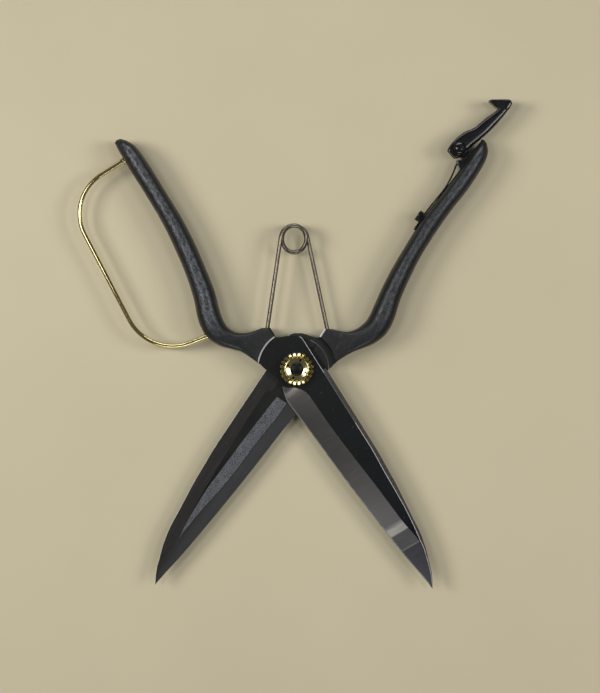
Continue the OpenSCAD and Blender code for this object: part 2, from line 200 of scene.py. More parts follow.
def lofted(name, rings, materials, place=UNMOVED, closed=False, slots=None):
    """A solid through equal rings of points, with end faces unless the rings close on themselves."""
    verts = [p for ring in rings for p in ring]
    faces = ring_faces(len(rings), len(rings[0]), closed=closed)
    return new_piece(name, verts, faces, slots, materials, place)


def around(r, turn, centre=(0, 0)):
    """The point at radius r and an angle in radians about centre."""
    return centre[0] + r * math.cos(turn), centre[1] + r * math.sin(turn)


def turned_solid(name, profile, material, sides=96, lobes=None):
    """A solid of revolution about Z from (radius, height) points; lobes may shape its radius."""
    rings = []
    for r, z in profile:
        ring = []
        for k in range(sides):
            t = 2 * math.pi * k / sides
            ring.append((*around(r * (lobes(t, r) if lobes else 1), t), z))
        rings.append(ring)
    return lofted(name, rings, [material])


def prism(name, outline, low, high, material, place=UNMOVED):
    """An upright solid over a flat outline."""
    rings = [[(x, y, z) for x, y in outline] for z in (low, high)]
    return lofted(name, rings, [material], place)


def bake_modifiers(piece):
    """Turns the piece's modifiers into its mesh."""
    bpy.context.view_layer.update()
    ready = piece.evaluated_get(bpy.context.evaluated_depsgraph_get())
    mesh = bpy.data.meshes.new_from_object(ready)
    old = piece.data
    piece.modifiers.clear()
    piece.data = mesh
    mesh.name = piece.name
    bpy.data.meshes.remove(old)


def boolean(piece, other, operation="DIFFERENCE"):
    """Cuts other out of piece, or adds it, and removes other. New faces keep other's materials."""
    cut = piece.modifiers.new("cut", "BOOLEAN")
    cut.operation = operation
    cut.object = other
    cut.solver = "EXACT"
    cut.material_mode = "TRANSFER"
    bake_modifiers(piece)
    bpy.data.objects.remove(other)


def cut(piece, outline, low, high, place=UNMOVED, material=None):
    """Cuts an upright hole with a flat outline through piece."""
    boolean(piece, prism("cutter", outline, low, high, material or piece.data.materials[0], place))


def along_x(x, y):
    """Matrix that turns a piece built about Z to lie along +X, from (x, y)."""
    return Matrix.Translation((x * MM, y * MM, 0)) @ Matrix.Rotation(math.radians(90), 4, "Y")


def rounded_edges(piece, width):
    """A small bevel on every sharp edge."""
    bevel = piece.modifiers.new("bevel", "BEVEL")
    bevel.width = width * MM
    bevel.segments = 2
    bevel.limit_method = "ANGLE"
    bevel.angle_limit = math.radians(35)
    bake_modifiers(piece)


def shade(piece, angle, between_slots=None):
    """Smooth shading, with edges sharper than angle left crisp.

    between_slots is the smaller angle that keeps an edge crisp between two materials.
    """
    work = bmesh.new()
    work.from_mesh(piece.data)
    for face in work.faces:
        face.smooth = True
    for edge in work.edges:
        if len(edge.link_faces) != 2:
            continue
        a, b = edge.link_faces
        turn = math.degrees(edge.calc_face_angle(0))
        limit = angle
        if between_slots is not None and a.material_index != b.material_index:
            limit = between_slots
        edge.smooth = turn < limit
    work.to_mesh(piece.data)
    work.free()


def turned_point(p, angle):
    c, s = math.cos(math.radians(angle)), math.sin(math.radians(angle))
    return p[0] * c - p[1] * s, p[0] * s + p[1] * c


def screw_slot(angle, near, far, half):
    """Outline of a straight slot at an angle in degrees, from near to far out and half its width."""
    return [turned_point(p, angle) for p in ((near, -half), (far, -half), (far, half), (near, half))]


def square(half):
    return [(-half, -half), (half, -half), (half, half), (-half, half)]


def circle_points(n, r, centre=(0, 0)):
    return [around(r, 2 * math.pi * k / n, centre) for k in range(n)]


def swept_wire(name, path, radius, material, place=UNMOVED, sides=20):
    """A round wire along a path of points. Its ends are rounded, and its rings never twist."""
    path = [Vector(p) for p in path]
    ways = [(path[min(i + 1, len(path) - 1)] - path[max(i - 1, 0)]).normalized() for i in range(len(path))]
    side = ways[0].orthogonal().normalized()
    rings = []
    for i, (p, way) in enumerate(zip(path, ways)):
        side = (side - way * side.dot(way)).normalized()
        up = way.cross(side)
        shrinks = [(radius, 0.0)]
        ends = [(0.35, 0.97), (0.7, 0.8), (0.92, 0.45)]
        if i == 0:
            shrinks = [(radius * a, -b * radius * 0.4) for a, b in ends] + shrinks
        if i == len(path) - 1:
            shrinks = shrinks + [(radius * a, b * radius * 0.4) for a, b in reversed(ends)]
        for r, ahead in shrinks:
            rings.append([p + way * ahead + r * (math.cos(2 * math.pi * k / sides) * side
                                                + math.sin(2 * math.pi * k / sides) * up)
                          for k in range(sides)])
    return lofted(name, rings, [material], place)


# ---------------------------------------------------------------- materials


class Nodes:
    """A node material under construction."""

    def __init__(self, name):
        self.material = bpy.data.materials.new(name)
        self.material.use_nodes = True
        self.tree = self.material.node_tree
        self.shader = self.tree.nodes["Principled BSDF"]
        where = self.add("ShaderNodeTexCoord")
        self.world = where.outputs["Object"]
        self.facing = where.outputs["Normal"]
        self.place = self.add("ShaderNodeAttribute", attribute_name="own_place").outputs["Vector"]

    def add(self, kind, **values):
        node = self.tree.nodes.new(kind)
        for key, value in values.items():
            setattr(node, key, value)
        return node

    def join(self, source, target):
        self.tree.links.new(source, target)

    def fixed(self, **values):
        """Sets constant inputs of the shader, such as Metallic=1."""
        for key, value in values.items():
            self.shader.inputs[key.replace("_", " ")].default_value = value

    def scaled(self, stretch):
        """The piece's own coordinates, with each axis multiplied."""
        mapping = self.add("ShaderNodeMapping")
        mapping.inputs["Scale"].default_value = stretch
        self.join(self.place, mapping.inputs["Vector"])
        return mapping.outputs["Vector"]

    def noise(self, scale, stretch=(1, 1, 1), detail=3.0, roughness=0.55, distortion=0.0):
        node = self.add("ShaderNodeTexNoise")
        node.inputs["Scale"].default_value = scale
        node.inputs["Detail"].default_value = detail
        node.inputs["Roughness"].default_value = roughness
        node.inputs["Distortion"].default_value = distortion
        self.join(self.scaled(stretch), node.inputs["Vector"])
        return node.outputs["Fac"]

    def ramp(self, source, low, high, start=0.0, end=1.0):
        """source from low..high brought to start..end, with both ends held."""
        node = self.add("ShaderNodeMapRange", clamp=True)
        for key, value in (("From Min", low), ("From Max", high), ("To Min", start), ("To Max", end)):
            node.inputs[key].default_value = value
        self.join(source, node.inputs["Value"])
        return node.outputs["Result"]

    def level(self, noise, start, end):
        """start..end over the range that a noise mostly covers."""
        return self.ramp(noise, 0.3, 0.7, start, end)

    def axis(self, name, source=None):
        split = self.add("ShaderNodeSeparateXYZ")
        self.join(source or self.place, split.inputs["Vector"])
        return split.outputs[name]

    def upright(self):
        """How far the surface faces along its own Z, either way: 1 on the crown of a handle."""
        return self.maths("ABSOLUTE", self.axis("Z", self.facing), 0.0)

    def mix(self, factor, first, second):
        """A colour between first and second, each a colour or a socket."""
        node = self.add("ShaderNodeMix", data_type="RGBA")
        self.join(factor, node.inputs["Factor"])
        for value, socket in ((first, node.inputs["A"]), (second, node.inputs["B"])):
            if isinstance(value, tuple):
                socket.default_value = (*value, 1)
            else:
                self.join(value, socket)
        return node.outputs["Result"]

    def over(self, base, color, *amounts):
        """color over base, by the product of the amounts."""
        factor = amounts[0]
        for amount in amounts[1:]:
            factor = self.maths("MULTIPLY", factor, amount)
        return self.mix(factor, base, color)

    def maths(self, operation, a, b):
        node = self.add("ShaderNodeMath", operation=operation)
        for value, socket in ((a, node.inputs[0]), (b, node.inputs[1])):
            if isinstance(value, (int, float)):
                socket.default_value = value
            else:
                self.join(value, socket)
        return node.outputs["Value"]

    def bump(self, height, strength, distance, under=None):
        node = self.add("ShaderNodeBump")
        node.inputs["Strength"].default_value = strength
        node.inputs["Distance"].default_value = distance * MM
        self.join(height, node.inputs["Height"])
        if under is not None:
            self.join(under, node.inputs["Normal"])
        return node.outputs["Normal"]

    def finish(self, color, rough, normal=None):
        self.join(color, self.shader.inputs["Base Color"])
        self.join(rough, self.shader.inputs["Roughness"])
        if normal is not None:
            self.join(normal, self.shader.inputs["Normal"])
        return self.material


def forged_black():
    """Handles: satin black oxide over a lightly hammered forging, with fine worn specks and a painted
    highlight band along the crown.
    """
    m = Nodes("forged_black")
    m.fixed(Metallic=0.30, IOR=1.55)
    blotch = m.ramp(m.noise(90, detail=5), 0.35, 0.65)
    grain = m.noise(1400, (1, 0.55, 1), detail=4, roughness=0.7)
    worn = m.ramp(m.noise(560, (1, 0.35, 1), detail=6, roughness=0.75), 0.56, 0.70)
    base = m.mix(blotch, (0.0100, 0.0108, 0.0118), (0.0165, 0.0175, 0.0195))
    base = m.mix(m.ramp(grain, 0.45, 0.75), base, (0.025, 0.0265, 0.031))
    base = m.over(base, (0.062, 0.065, 0.076), worn, 0.8)
    # Painted highlight: the crown of each handle is painted lighter, broken up by a mottling noise and
    # stronger on the left handle.
    crown = m.maths("MULTIPLY", m.ramp(m.upright(), 0.80, 0.985), m.ramp(m.axis("Y"), 0.034, 0.050))
    rubbed_sheen_mottle = m.ramp(m.noise(900, (1, 0.5, 1), detail=6, roughness=0.8), 0.44, 0.58)
    highlight_more_on_left = m.ramp(m.axis("X", m.world), -0.02, 0.02, 1.0, 0.45)
    base = m.over(base, (0.120, 0.126, 0.145), crown, rubbed_sheen_mottle, highlight_more_on_left)
    rough = m.level(grain, 0.30, 0.44)
    normal = m.bump(m.noise(210, (1, 0.5, 1), detail=4), 0.35, 0.25)
    normal = m.bump(grain, 0.35, 0.08, normal)
    return m.finish(base, rough, normal)


def black_plate():
    """Blade's upper flat and the pivot disc: smooth blue-black oxide with fine specks and scratches."""
    m = Nodes("black_plate")
    m.fixed(Metallic=0.2, IOR=1.5, Specular_IOR_Level=0.4)
    cloud = m.ramp(m.noise(45, detail=4), 0.35, 0.68)
    specks = m.ramp(m.noise(900, detail=2, roughness=0.4), 0.70, 0.76)
    scratch = m.ramp(m.noise(260, (1, 0.06, 1), detail=5, roughness=0.8, distortion=0.6), 0.66, 0.74)
    along = m.ramp(m.axis("Y"), -0.105, -0.02)
    base = m.mix(along, (0.0070, 0.0086, 0.0125), (0.0145, 0.0160, 0.0138))
    base = m.over(base, (0.0100, 0.0118, 0.0160), cloud, 0.6)
    base = m.over(base, (0.045, 0.052, 0.062), scratch, 0.07)
    base = m.over(base, (0.085, 0.10, 0.115), specks, 0.7)
    rough = m.ramp(cloud, 0.0, 1.0, 0.20, 0.27)
    normal = m.bump(m.noise(1800, (1, 0.3, 1), detail=3), 0.10, 0.02)
    normal = m.bump(specks, 0.25, 0.03, normal)
    return m.finish(base, rough, normal)


def ground_bevel():
    """Wide ground bevel: satin grey steel with grinding lines across it, and a painted reflection band near
    the tip.
    """
    m = Nodes("ground_bevel")
    m.fixed(Metallic=0.9)
    y = m.axis("Y")
    cloud = m.ramp(m.noise(38, (1, 0.7, 1), detail=3), 0.35, 0.68)
    lines = m.noise(700, (0.12, 1, 0.12), detail=5, roughness=0.7)
    fine = m.noise(2600, (0.08, 1, 0.08), detail=2)
    base = m.mix(m.ramp(y, -0.026, -0.006), (0.114, 0.113, 0.109), (0.205, 0.195, 0.186))
    base = m.mix(m.ramp(y, -0.055, -0.090), base, (0.220, 0.215, 0.217))
    base = m.over(base, (0.125, 0.123, 0.120), cloud, 0.35)
    # Painted reflection: a bright band across the bevel near the tip, streaked by the grinding lines.
    painted_reflection_band = m.maths("MULTIPLY", m.ramp(y, -0.0962, -0.0988), m.ramp(y, -0.1028, -0.1018))
    base = m.over(base, (0.600, 0.585, 0.535), painted_reflection_band, m.ramp(lines, 0.30, 0.60, 0.55, 1.0))
    base = m.over(base, (0.091, 0.091, 0.096), m.ramp(y, -0.1020, -0.1028), 0.55)
    base = m.over(base, (0.258, 0.251, 0.236), m.ramp(y, -0.107, -0.1112), m.ramp(lines, 0.45, 0.7), 0.5)
    base = m.mix(m.ramp(y, -0.1113, -0.1117), base, (0.096, 0.096, 0.112))
    base = m.over(base, (0.395, 0.388, 0.365), m.ramp(y, -0.1110, -0.1113), m.ramp(y, -0.1119, -0.1116), 0.6)
    base = m.mix(m.ramp(lines, 0.5, 0.8, 0.0, 0.25), base, (0.129, 0.128, 0.128))
    rough = m.level(lines, 0.34, 0.42)
    normal = m.bump(lines, 0.05, 0.02)
    normal = m.bump(fine, 0.06, 0.01, normal)
    return m.finish(base, rough, normal)


def filed_spine():
    """Narrow spine bevel, left with its file marks."""
    m = Nodes("filed_spine")
    m.fixed(Metallic=0.75)
    marks = m.noise(1500, (0.2, 1, 0.2), detail=3, roughness=0.7)
    base = m.mix(m.ramp(marks, 0.38, 0.66), (0.085, 0.077, 0.070), (0.180, 0.163, 0.150))
    rough = m.level(marks, 0.50, 0.40)
    return m.finish(base, rough, m.bump(marks, 0.30, 0.04))


def worn_edge_and_highlight(name="worn_edge_and_highlight", low=0.70, high=0.95):
    """Chamfers and edges worn back to bright steel, painted near white so that they also carry a painted
    highlight.
    """
    m = Nodes(name)
    m.fixed(Metallic=0.35)
    rub = m.noise(900, (1, 0.4, 1), detail=5, roughness=0.7)
    low_color = (low, low, low * 1.05)
    high_color = (high, high, high * 1.04)
    base = m.mix(m.ramp(rub, 0.35, 0.6), low_color, high_color)
    return m.finish(base, m.level(rub, 0.50, 0.38), m.bump(rub, 0.12, 0.02))


def sliding_face():
    """Flat sliding face: ground dark steel, browner along the spine and greyer along the edge."""
    m = Nodes("sliding_face")
    m.fixed(Metallic=0.8)
    across = m.ramp(m.axis("X"), -0.003, 0.003)
    lines = m.noise(520, (1, 0.10, 1), detail=5, roughness=0.7)
    spots = m.ramp(m.noise(420, detail=3, roughness=0.6), 0.68, 0.74)
    base = m.mix(across, (0.060, 0.061, 0.066), (0.036, 0.034, 0.032))
    near = m.ramp(m.axis("Y"), -0.03, -0.005)
    base = m.mix(near, base, (0.034, 0.034, 0.031))
    base = m.mix(m.ramp(lines, 0.5, 0.85, 0.0, 0.45), base, (0.085, 0.083, 0.080))
    base = m.over(base, (0.20, 0.20, 0.19), spots, 0.75)
    return m.finish(base, m.level(lines, 0.38, 0.50), m.bump(lines, 0.10, 0.02))


def hollow_slope():
    """Steep side of the hollow: smooth and nearly black."""
    m = Nodes("hollow_slope")
    m.fixed(Metallic=0.2, Specular_IOR_Level=0.3)
    cloud = m.noise(160, (1, 0.3, 1), detail=4)
    base = m.mix(m.ramp(cloud, 0.4, 0.7), (0.0070, 0.0084, 0.0074), (0.0140, 0.0160, 0.0140))
    return m.finish(base, m.level(cloud, 0.42, 0.55), m.bump(cloud, 0.2, 0.05))


def hollow_floor():
    """Floor of the hollow: rough blue-grey forge scale."""
    m = Nodes("hollow_floor")
    m.fixed(Metallic=0.15)
    grain = m.noise(2100, (1, 0.8, 1), detail=6, roughness=0.8)
    streak = m.noise(420, (1, 0.35, 1), detail=5, roughness=0.75)
    base = m.mix(m.ramp(grain, 0.45, 0.55), (0.024, 0.027, 0.033), (0.140, 0.148, 0.172))
    base = m.mix(m.ramp(streak, 0.50, 0.68, 0.0, 0.35), base, (0.19, 0.20, 0.225))
    rough = m.level(grain, 0.80, 0.60)
    return m.finish(base, rough, m.bump(grain, 0.6, 0.09))


def spring_wire():
    """Oil-tempered wire: brown-grey, half gloss, with faint drawing lines."""
    m = Nodes("spring_wire")
    m.fixed(Metallic=0.9)
    cloud = m.ramp(m.noise(120, detail=4), 0.35, 0.65)
    fine = m.noise(1500, (1, 0.25, 1), detail=4, roughness=0.7)
    base = m.mix(cloud, (0.150, 0.128, 0.100), (0.240, 0.212, 0.170))
    base = m.mix(m.ramp(fine, 0.5, 0.75, 0.0, 0.6), base, (0.36, 0.33, 0.27))
    return m.finish(base, m.level(fine, 0.18, 0.28), m.bump(fine, 0.10, 0.015))


def polished_brass(name="polished_brass", rough=(0.07, 0.11)):
    """Yellow brass, polished, with light handling marks."""
    m = Nodes(name)
    m.fixed(Metallic=1.0)
    cloud = m.ramp(m.noise(110, detail=4), 0.35, 0.65)
    fine = m.noise(1300, (1, 0.4, 1), detail=4, roughness=0.7)
    base = m.mix(cloud, (0.68, 0.585, 0.285), (0.78, 0.70, 0.40))
    base = m.mix(m.ramp(fine, 0.58, 0.80, 0.0, 0.5), base, (0.46, 0.37, 0.135))
    return m.finish(base, m.level(fine, *rough), m.bump(fine, 0.03, 0.012))


def gloss_black():
    """Latch parts: glossy black finish over a slightly uneven casting."""
    m = Nodes("gloss_black")
    m.fixed(Metallic=0.10, IOR=1.6, Specular_IOR_Level=0.5)
    cloud = m.ramp(m.noise(140, detail=4), 0.35, 0.68)
    fine = m.noise(1100, detail=4, roughness=0.7)
    base = m.mix(cloud, (0.0040, 0.0045, 0.0055), (0.0078, 0.0084, 0.0098))
    base = m.mix(m.ramp(fine, 0.66, 0.80, 0.0, 0.5), base, (0.020, 0.021, 0.024))
    normal = m.bump(m.noise(200, detail=2), 0.06, 0.04)
    return m.finish(base, m.level(fine, 0.13, 0.20), m.bump(fine, 0.04, 0.01, normal))


def dark_steel(name, low, high):
    """Turned or rolled steel parts, dark and satin."""
    m = Nodes(name)
    m.fixed(Metallic=0.7)
    fine = m.noise(900, detail=4, roughness=0.7)
    cloud = m.noise(90, detail=3)
    base = m.mix(m.ramp(cloud, 0.35, 0.65), (low, low, low * 1.05), (high, high, high * 1.06))
    base = m.mix(m.ramp(fine, 0.6, 0.8, 0.0, 0.7), base, (high * 1.8,) * 3)
    return m.finish(base, m.level(fine, 0.28, 0.42), m.bump(fine, 0.12, 0.03))


FORGED = forged_black()
PLATE = black_plate()
BEVEL = ground_bevel()
SPINE = filed_spine()
WORN_BRIGHT_HIGHLIGHT = worn_edge_and_highlight()
# A dimmer copy of the bright edge: worn steel with a weaker painted highlight.
DIM_WORN_HIGHLIGHT = worn_edge_and_highlight("dim_worn_edge_and_highlight", 0.14, 0.28)
SLIDING = sliding_face()
SLOPE = hollow_slope()
FLOOR = hollow_floor()
SPRING = spring_wire()
BRASS = polished_brass()
NUT_BRASS = polished_brass("nut_brass", (0.10, 0.17))
GLOSS = gloss_black()
BOLT_STEEL_AND_SLOT_SHADE = dark_steel("bolt_steel_and_slot_shade", 0.010, 0.018)
WASHER_STEEL = dark_steel("washer_steel", 0.05, 0.09)
LEAF_STEEL = dark_steel("leaf_steel", 0.016, 0.030)
RIVET_STEEL = dark_steel("rivet_steel", 0.06, 0.12)
ARM_MATERIALS = [FORGED, PLATE, BEVEL, SPINE, WORN_BRIGHT_HIGHLIGHT, DIM_WORN_HIGHLIGHT, SLIDING, SLOPE, FLOOR]
ON_FORGED, ON_PLATE, ON_BEVEL, ON_SPINE, ON_WORN_HIGHLIGHT, ON_DIM_WORN_HIGHLIGHT, ON_SLIDING, ON_SLOPE, ON_FLOOR = range(9)


# ---------------------------------------------------------------- arms

# Handle stations from the end to the shoulder, with the handle at -X:
# outer x, outer y, inner x, inner y, half thickness, squareness of the section
UPPER_GRIP = [
    (-17.9, 151.6, -13.1, 151.9, 2.9, 2.2), (-18.2, 149.0, -11.3, 149.6, 4.7, 2.3),
    (-18.4, 144.0, -9.3, 144.5, 6.2, 2.4), (-18.6, 134.0, -8.6, 134.0, 6.9, 2.4),
    (-18.6, 118.0, -8.7, 118.0, 7.0, 2.4), (-19.1, 102.8, -8.9, 101.5, 7.0, 2.4),
    (-20.8, 87.5, -10.1, 86.0, 7.0, 2.4), (-23.2, 73.0, -12.6, 70.0, 7.0, 2.4),
    (-26.6, 60.0, -15.0, 57.5, 7.0, 2.4), (-30.0, 51.0, -17.8, 49.0, 7.0, 2.5),
    (-31.5, 43.0, -19.2, 42.5, 7.0, 2.6), (-30.5, 37.0, -18.9, 37.5, 6.9, 2.8),
    (-27.6, 31.6, -16.8, 33.6, 6.6, 3.2), (-23.5, 27.2, -13.0, 30.7, 6.2, 4.0),
    (-20.2, 23.7, -8.5, 29.1, 5.8, 6.0), (-18.0, 19.3, -4.2, 28.3, 5.5, 9.0)]
LOWER_GRIP = [
    (-18.3, 154.2, -13.9, 154.6, 2.9, 2.2), (-20.2, 152.0, -13.6, 151.6, 4.7, 2.3),
    (-21.8, 147.0, -13.3, 146.5, 6.2, 2.4), (-22.4, 139.0, -13.1, 138.5, 6.8, 2.4),
    (-22.4, 129.0, -12.6, 128.5, 7.0, 2.4), (-21.4, 116.0, -11.9, 116.0, 7.0, 2.4),
    (-21.0, 103.0, -11.0, 103.0, 7.0, 2.4), (-21.4, 87.0, -11.5, 87.0, 7.0, 2.4),
    (-22.9, 74.0, -12.2, 73.5, 7.0, 2.4), (-25.0, 62.0, -13.5, 61.5, 7.0, 2.4),
    (-28.0, 51.5, -15.3, 51.0, 7.0, 2.5), (-29.1, 44.0, -16.4, 43.5, 7.0, 2.6),
    (-28.2, 38.0, -15.7, 38.5, 6.9, 2.8), (-26.0, 33.0, -14.0, 34.5, 6.6, 3.2),
    (-22.9, 28.4, -11.2, 31.3, 6.2, 4.0), (-20.0, 24.4, -7.9, 29.5, 5.8, 6.0),
    (-17.5, 19.8, -4.2, 28.2, 5.5, 9.0)]
UPPER_SHOULDER = [(-16.4, 15.5, STOP_X, 26.0, SHOULDER_HALF, 14),
                  (-15.2, 12.6, STOP_X, 19.8, SHOULDER_HALF, 14)]
LOWER_SHOULDER = [(-15.8, 16.0, STOP_X, 26.0, SHOULDER_HALF, 14),
                  (-14.9, 12.6, STOP_X, 19.8, SHOULDER_HALF, 14)]

# Lines of the blade, each as (y, x): cutting edge, top of the wide bevel, ridge of the spine bevel, spine
EDGE_X = line([(BLADE_TOP, -1.6), (19.6, -5.0), (18.5, -8.2), (17.7, -10.2), (15.6, -14.0), (13, -15.0),
               (8.5, -14.05), (1.5, -11.7), (-3.9, -11.6), (-6.2, -12.2), (-9, -12.95), (-11.5, -13.4),
               (-19.1, -12.9), (-33.5, -11.7), (-54.3, -10.3), (-75.5, -8.5), (-96.9, -6.4),
               (-118.6, -3.8), (-129.7, -2.1), (BLADE_TIP, -1.2)])
BEVEL_X = line([(BLADE_TOP, -1.4), (18.5, -8.0), (15.6, -13.8), (13, -14.8), (8.5, -13.85), (1.5, -11.5),
                (-3.7, -11.35), (-4.6, -10.7), (-6, -9.3), (-7.3, -6.9), (-9.2, -4.9), (-11.5, -3.2),
                (-14.4, -2.1), (-20, -1.75), (-31.5, -1.3), (-56.4, 0.7), (-77.1, 2.7), (-98.3, 4.4),
                (-111.3, 6.2), (-115.4, 5.95), (-121, 4.4), (-129, 2.0), (-135, -0.6), (BLADE_TIP, -1.1)])
RIDGE_X = line([(BLADE_TOP, -0.9), (19.6, -0.1), (18.96, 0.85), (18.4, 2.2), (18.0, 3.4), (17.3, 4.9),
                (16.1, 6.9), (15.1, 8.7), (13.6, 10.4), (12.4, 10.95), (8.5, 11.1), (-55, 11.1),
                (-70.4, 10.3), (-90.1, 9.5), (-104.9, 8.0), (-111.3, 7.0), (-115.4, 6.5),
                (-121, 5.0), (-129, 2.45), (-135, -0.35), (BLADE_TIP, -1.05)])
SPINE_X = line([(BLADE_TOP, -0.6), (19.6, 0.25), (18.96, 1.2), (18.4, 2.6), (18.0, 3.8), (17.3, 5.3),
                (16.1, 7.3), (15.1, 9.1), (13.6, 10.9), (12.4, 11.5), (8.5, 11.8), (1.5, 12.4),
                (-3.9, 12.9), (-9, 13.2), (-59, 13.1),
                (-68.7, 12.6), (-78.5, 12.1), (-87.9, 11.2), (-97.3, 10.2), (-106.8, 9.3),
                (-115.6, 7.5), (-123.9, 4.8), (-128.1, 3.4), (-132, 1.6), (BLADE_TIP, -1.0)])
# How much farther out the lower arm's disc reaches on its spine side
WIDER_X = line([(1.5, 0), (5, 0.3), (8.5, 0.8), (11, 1.7), (13.1, 2.1), (14.6, 2.4), (15.8, 2.9), (16.9, 3.0),
                (17.8, 2.6), (18.6, 1.9), (19.5, 0.5), (BLADE_TOP, 0)])
EDGE_T = line([(BLADE_TOP, 4.1), (-3.0, 4.1), (-3.9, 4.0), (-6.2, 2.3), (-9, 0.8), (-14.5, 0.4), (-22, 0.3),
               (-130, 0.3), (BLADE_TIP, 0.2)])
THICK = line([(BLADE_TOP, 4.5), (-22, 4.5), (-32, 4.3), (-56, 3.9), (-77, 3.4), (-98, 2.8), (-111, 2.3),
              (-121, 2.0), (-129, 1.5), (-135, 0.9), (BLADE_TIP, 0.5)])
# Hollow of the sliding face: its two sides and its valley, as (y, x), and its depth along the valley
HOLLOW_TOP = -16.9
HOLLOW_END = -109.0
HOLLOW_SPINE = line([(HOLLOW_TOP, 4.6), (-17.7, 6.1), (-19.9, 7.0), (-24, 7.15), (-36, 7.0), (-50, 6.6),
                     (-64, 5.9), (-76, 5.3), (-83, 4.9), (-90.5, 4.3), (-102, 3.2), (HOLLOW_END, 2.15)])
HOLLOW_VALLEY = line([(HOLLOW_TOP, 0.3), (-18.1, 0.45), (-25.7, 1.15), (-37.4, 1.9), (-50, 2.75), (-60, 3.2),
                      (-70, 3.75), (-80, 4.2), (-90, 3.95), (-102, 3.1), (HOLLOW_END, 2.1)])
HOLLOW_EDGE = line([(HOLLOW_TOP, -4.7), (-17.4, -5.2), (-18.4, -5.8), (-25.5, -5.8), (-34, -5.2),
                    (-44.5, -4.3), (-57, -3.6), (-69.4, -2.8), (-79.3, -1.5), (-89, 0.0), (-98.4, 1.0),
                    (HOLLOW_END, 2.05)])
HOLLOW_DEPTH = line([(HOLLOW_TOP, 0.0), (-18.1, 0.85), (-60, 0.9), (-86, 0.6), (-102, 0.3),
                     (HOLLOW_END, 0.0)])
FLOOR_STEP = 0.22
MICRO_BEVEL = 0.55
RIDGE_WIDENS = -9

# Material of the strip after each point of the blade's section
# The cutting edge face, its micro bevel, the ridge and the spine's lower chamfer take the edge steels: worn
# steel with a painted highlight.
STRIPS = [ON_WORN_HIGHLIGHT, ON_DIM_WORN_HIGHLIGHT, ON_BEVEL, ON_BEVEL, ON_PLATE, ON_WORN_HIGHLIGHT, ON_SPINE, ON_SPINE, ON_WORN_HIGHLIGHT, ON_SLIDING,
          ON_SLOPE, ON_FLOOR, ON_SLOPE, ON_SLIDING]
EDGE_STRIPS = (0, 1, 2, 3)
RIDGE_STRIP = 5
SPINE_STRIPS = (6, 7)
FLOOR_STRIP = 11


def grip_rings(stations):
    """A ring of points for each station, from round to nearly square in section."""
    rings = []
    turns = 2 * np.pi * np.arange(GRIP_SIDES) / GRIP_SIDES
    for s in stations:
        u, w = (np.sign(wave) * np.abs(wave) ** (2 / s[5]) for wave in (np.cos(turns), np.sin(turns)))
        x = (s[0] + s[2] + u * (s[2] - s[0])) / 2
        y = (s[1] + s[3] + u * (s[3] - s[1])) / 2
        rings.append(np.stack([x, y, w * s[4]], axis=1))
    return rings


def rounded_end(first, tip):
    """Shrinking stations that close the end of a handle or a bar at its tip."""
    out = []
    for k in (1, 2, 4, 6):
        turn = math.radians(90 * k / 7)
        size, back = math.sin(turn), math.cos(turn)
        middle = [(first[i] + first[i + 2]) / 2 for i in (0, 1)]
        centre = [m + (t - m) * back for m, t in zip(middle, tip)]
        out.append((centre[0] + (first[0] - middle[0]) * size, centre[1] + (first[1] - middle[1]) * size,
                    centre[0] + (first[2] - middle[0]) * size, centre[1] + (first[3] - middle[1]) * size,
                    first[4] * size, first[5]))
    return out


def blade_section(y, wider):
    """The blade's section at y, from the sliding side of its cutting edge and round over the top."""
    more = wider * WIDER_X(y)
    edge, bevel, ridge, spine = EDGE_X(y), BEVEL_X(y), RIDGE_X(y) + more, SPINE_X(y) + more
    low, t = EDGE_T(y), THICK(y)
    width = max(bevel - edge, 0.05)
    micro = min(MICRO_BEVEL, width * 0.4)
    ridge_half = min(0.11 if y > RIDGE_WIDENS else 0.12, (ridge - bevel) / 4, (spine - ridge) / 4)
    spine_top = t - SPINE_DROP * (spine - ridge)
    trim = min(0.15, (spine_top - LAP) / 4)
    inside = HOLLOW_END <= y <= HOLLOW_TOP
    at = float(np.clip(y, HOLLOW_END, HOLLOW_TOP))
    near, valley, far = HOLLOW_SPINE(at), HOLLOW_VALLEY(at), HOLLOW_EDGE(at)
    if not inside:
        share = (y - at) / ((BLADE_TIP if y < at else BLADE_TOP) - at)
        middle = (edge + spine) / 2
        near, valley, far = (v + (middle - v) * share for v in (near, valley, far))
    depth = HOLLOW_DEPTH(at) if inside else 0.0
    step = min(FLOOR_STEP, depth * 0.5)
    return [
        (edge, LAP), (edge, low), (edge + micro, low + (t - low) * micro / width * 1.08),
        (bevel - 0.1, t - 0.1 * (t - low) / width), (bevel + 0.1, t),
        (ridge - ridge_half, t), (ridge + ridge_half, t - SPINE_DROP * ridge_half * 1.6),
        (spine, spine_top), (spine, LAP + trim), (spine - trim, LAP),
        (near, LAP), (valley, LAP + depth), (far + step, LAP + step), (far, LAP)]


def blade_places():
    """Places along the blade for its sections: even steps, with more where its lines turn."""
    marks = [BLADE_TOP, 19.9, 19.4, 18.9, 18.5, 18.1, 17.7, 17.2, 16.6, 16.1, 15.6, 15.0, 14.4, 13.7, 13.0,
             12.2, 11.4, 10.6, 9.6, 8.5, 5.0, 1.5, -1.0, -3.0, -3.7, -4.2, -4.8, -5.5, -6.2, -6.9, -7.6, -8.4,
             -9.2, -10.2, -11.3, -12.5, -13.5, -14.5, -15.7, HOLLOW_TOP, -17.2, -17.6, -18.1, -18.8, -19.9]
    marks += list(np.linspace(-22, HOLLOW_END, 58))
    marks += list(np.linspace(HOLLOW_END - 1.5, -134.5, 18)) + [-135.5, -136.2, BLADE_TIP]
    return marks


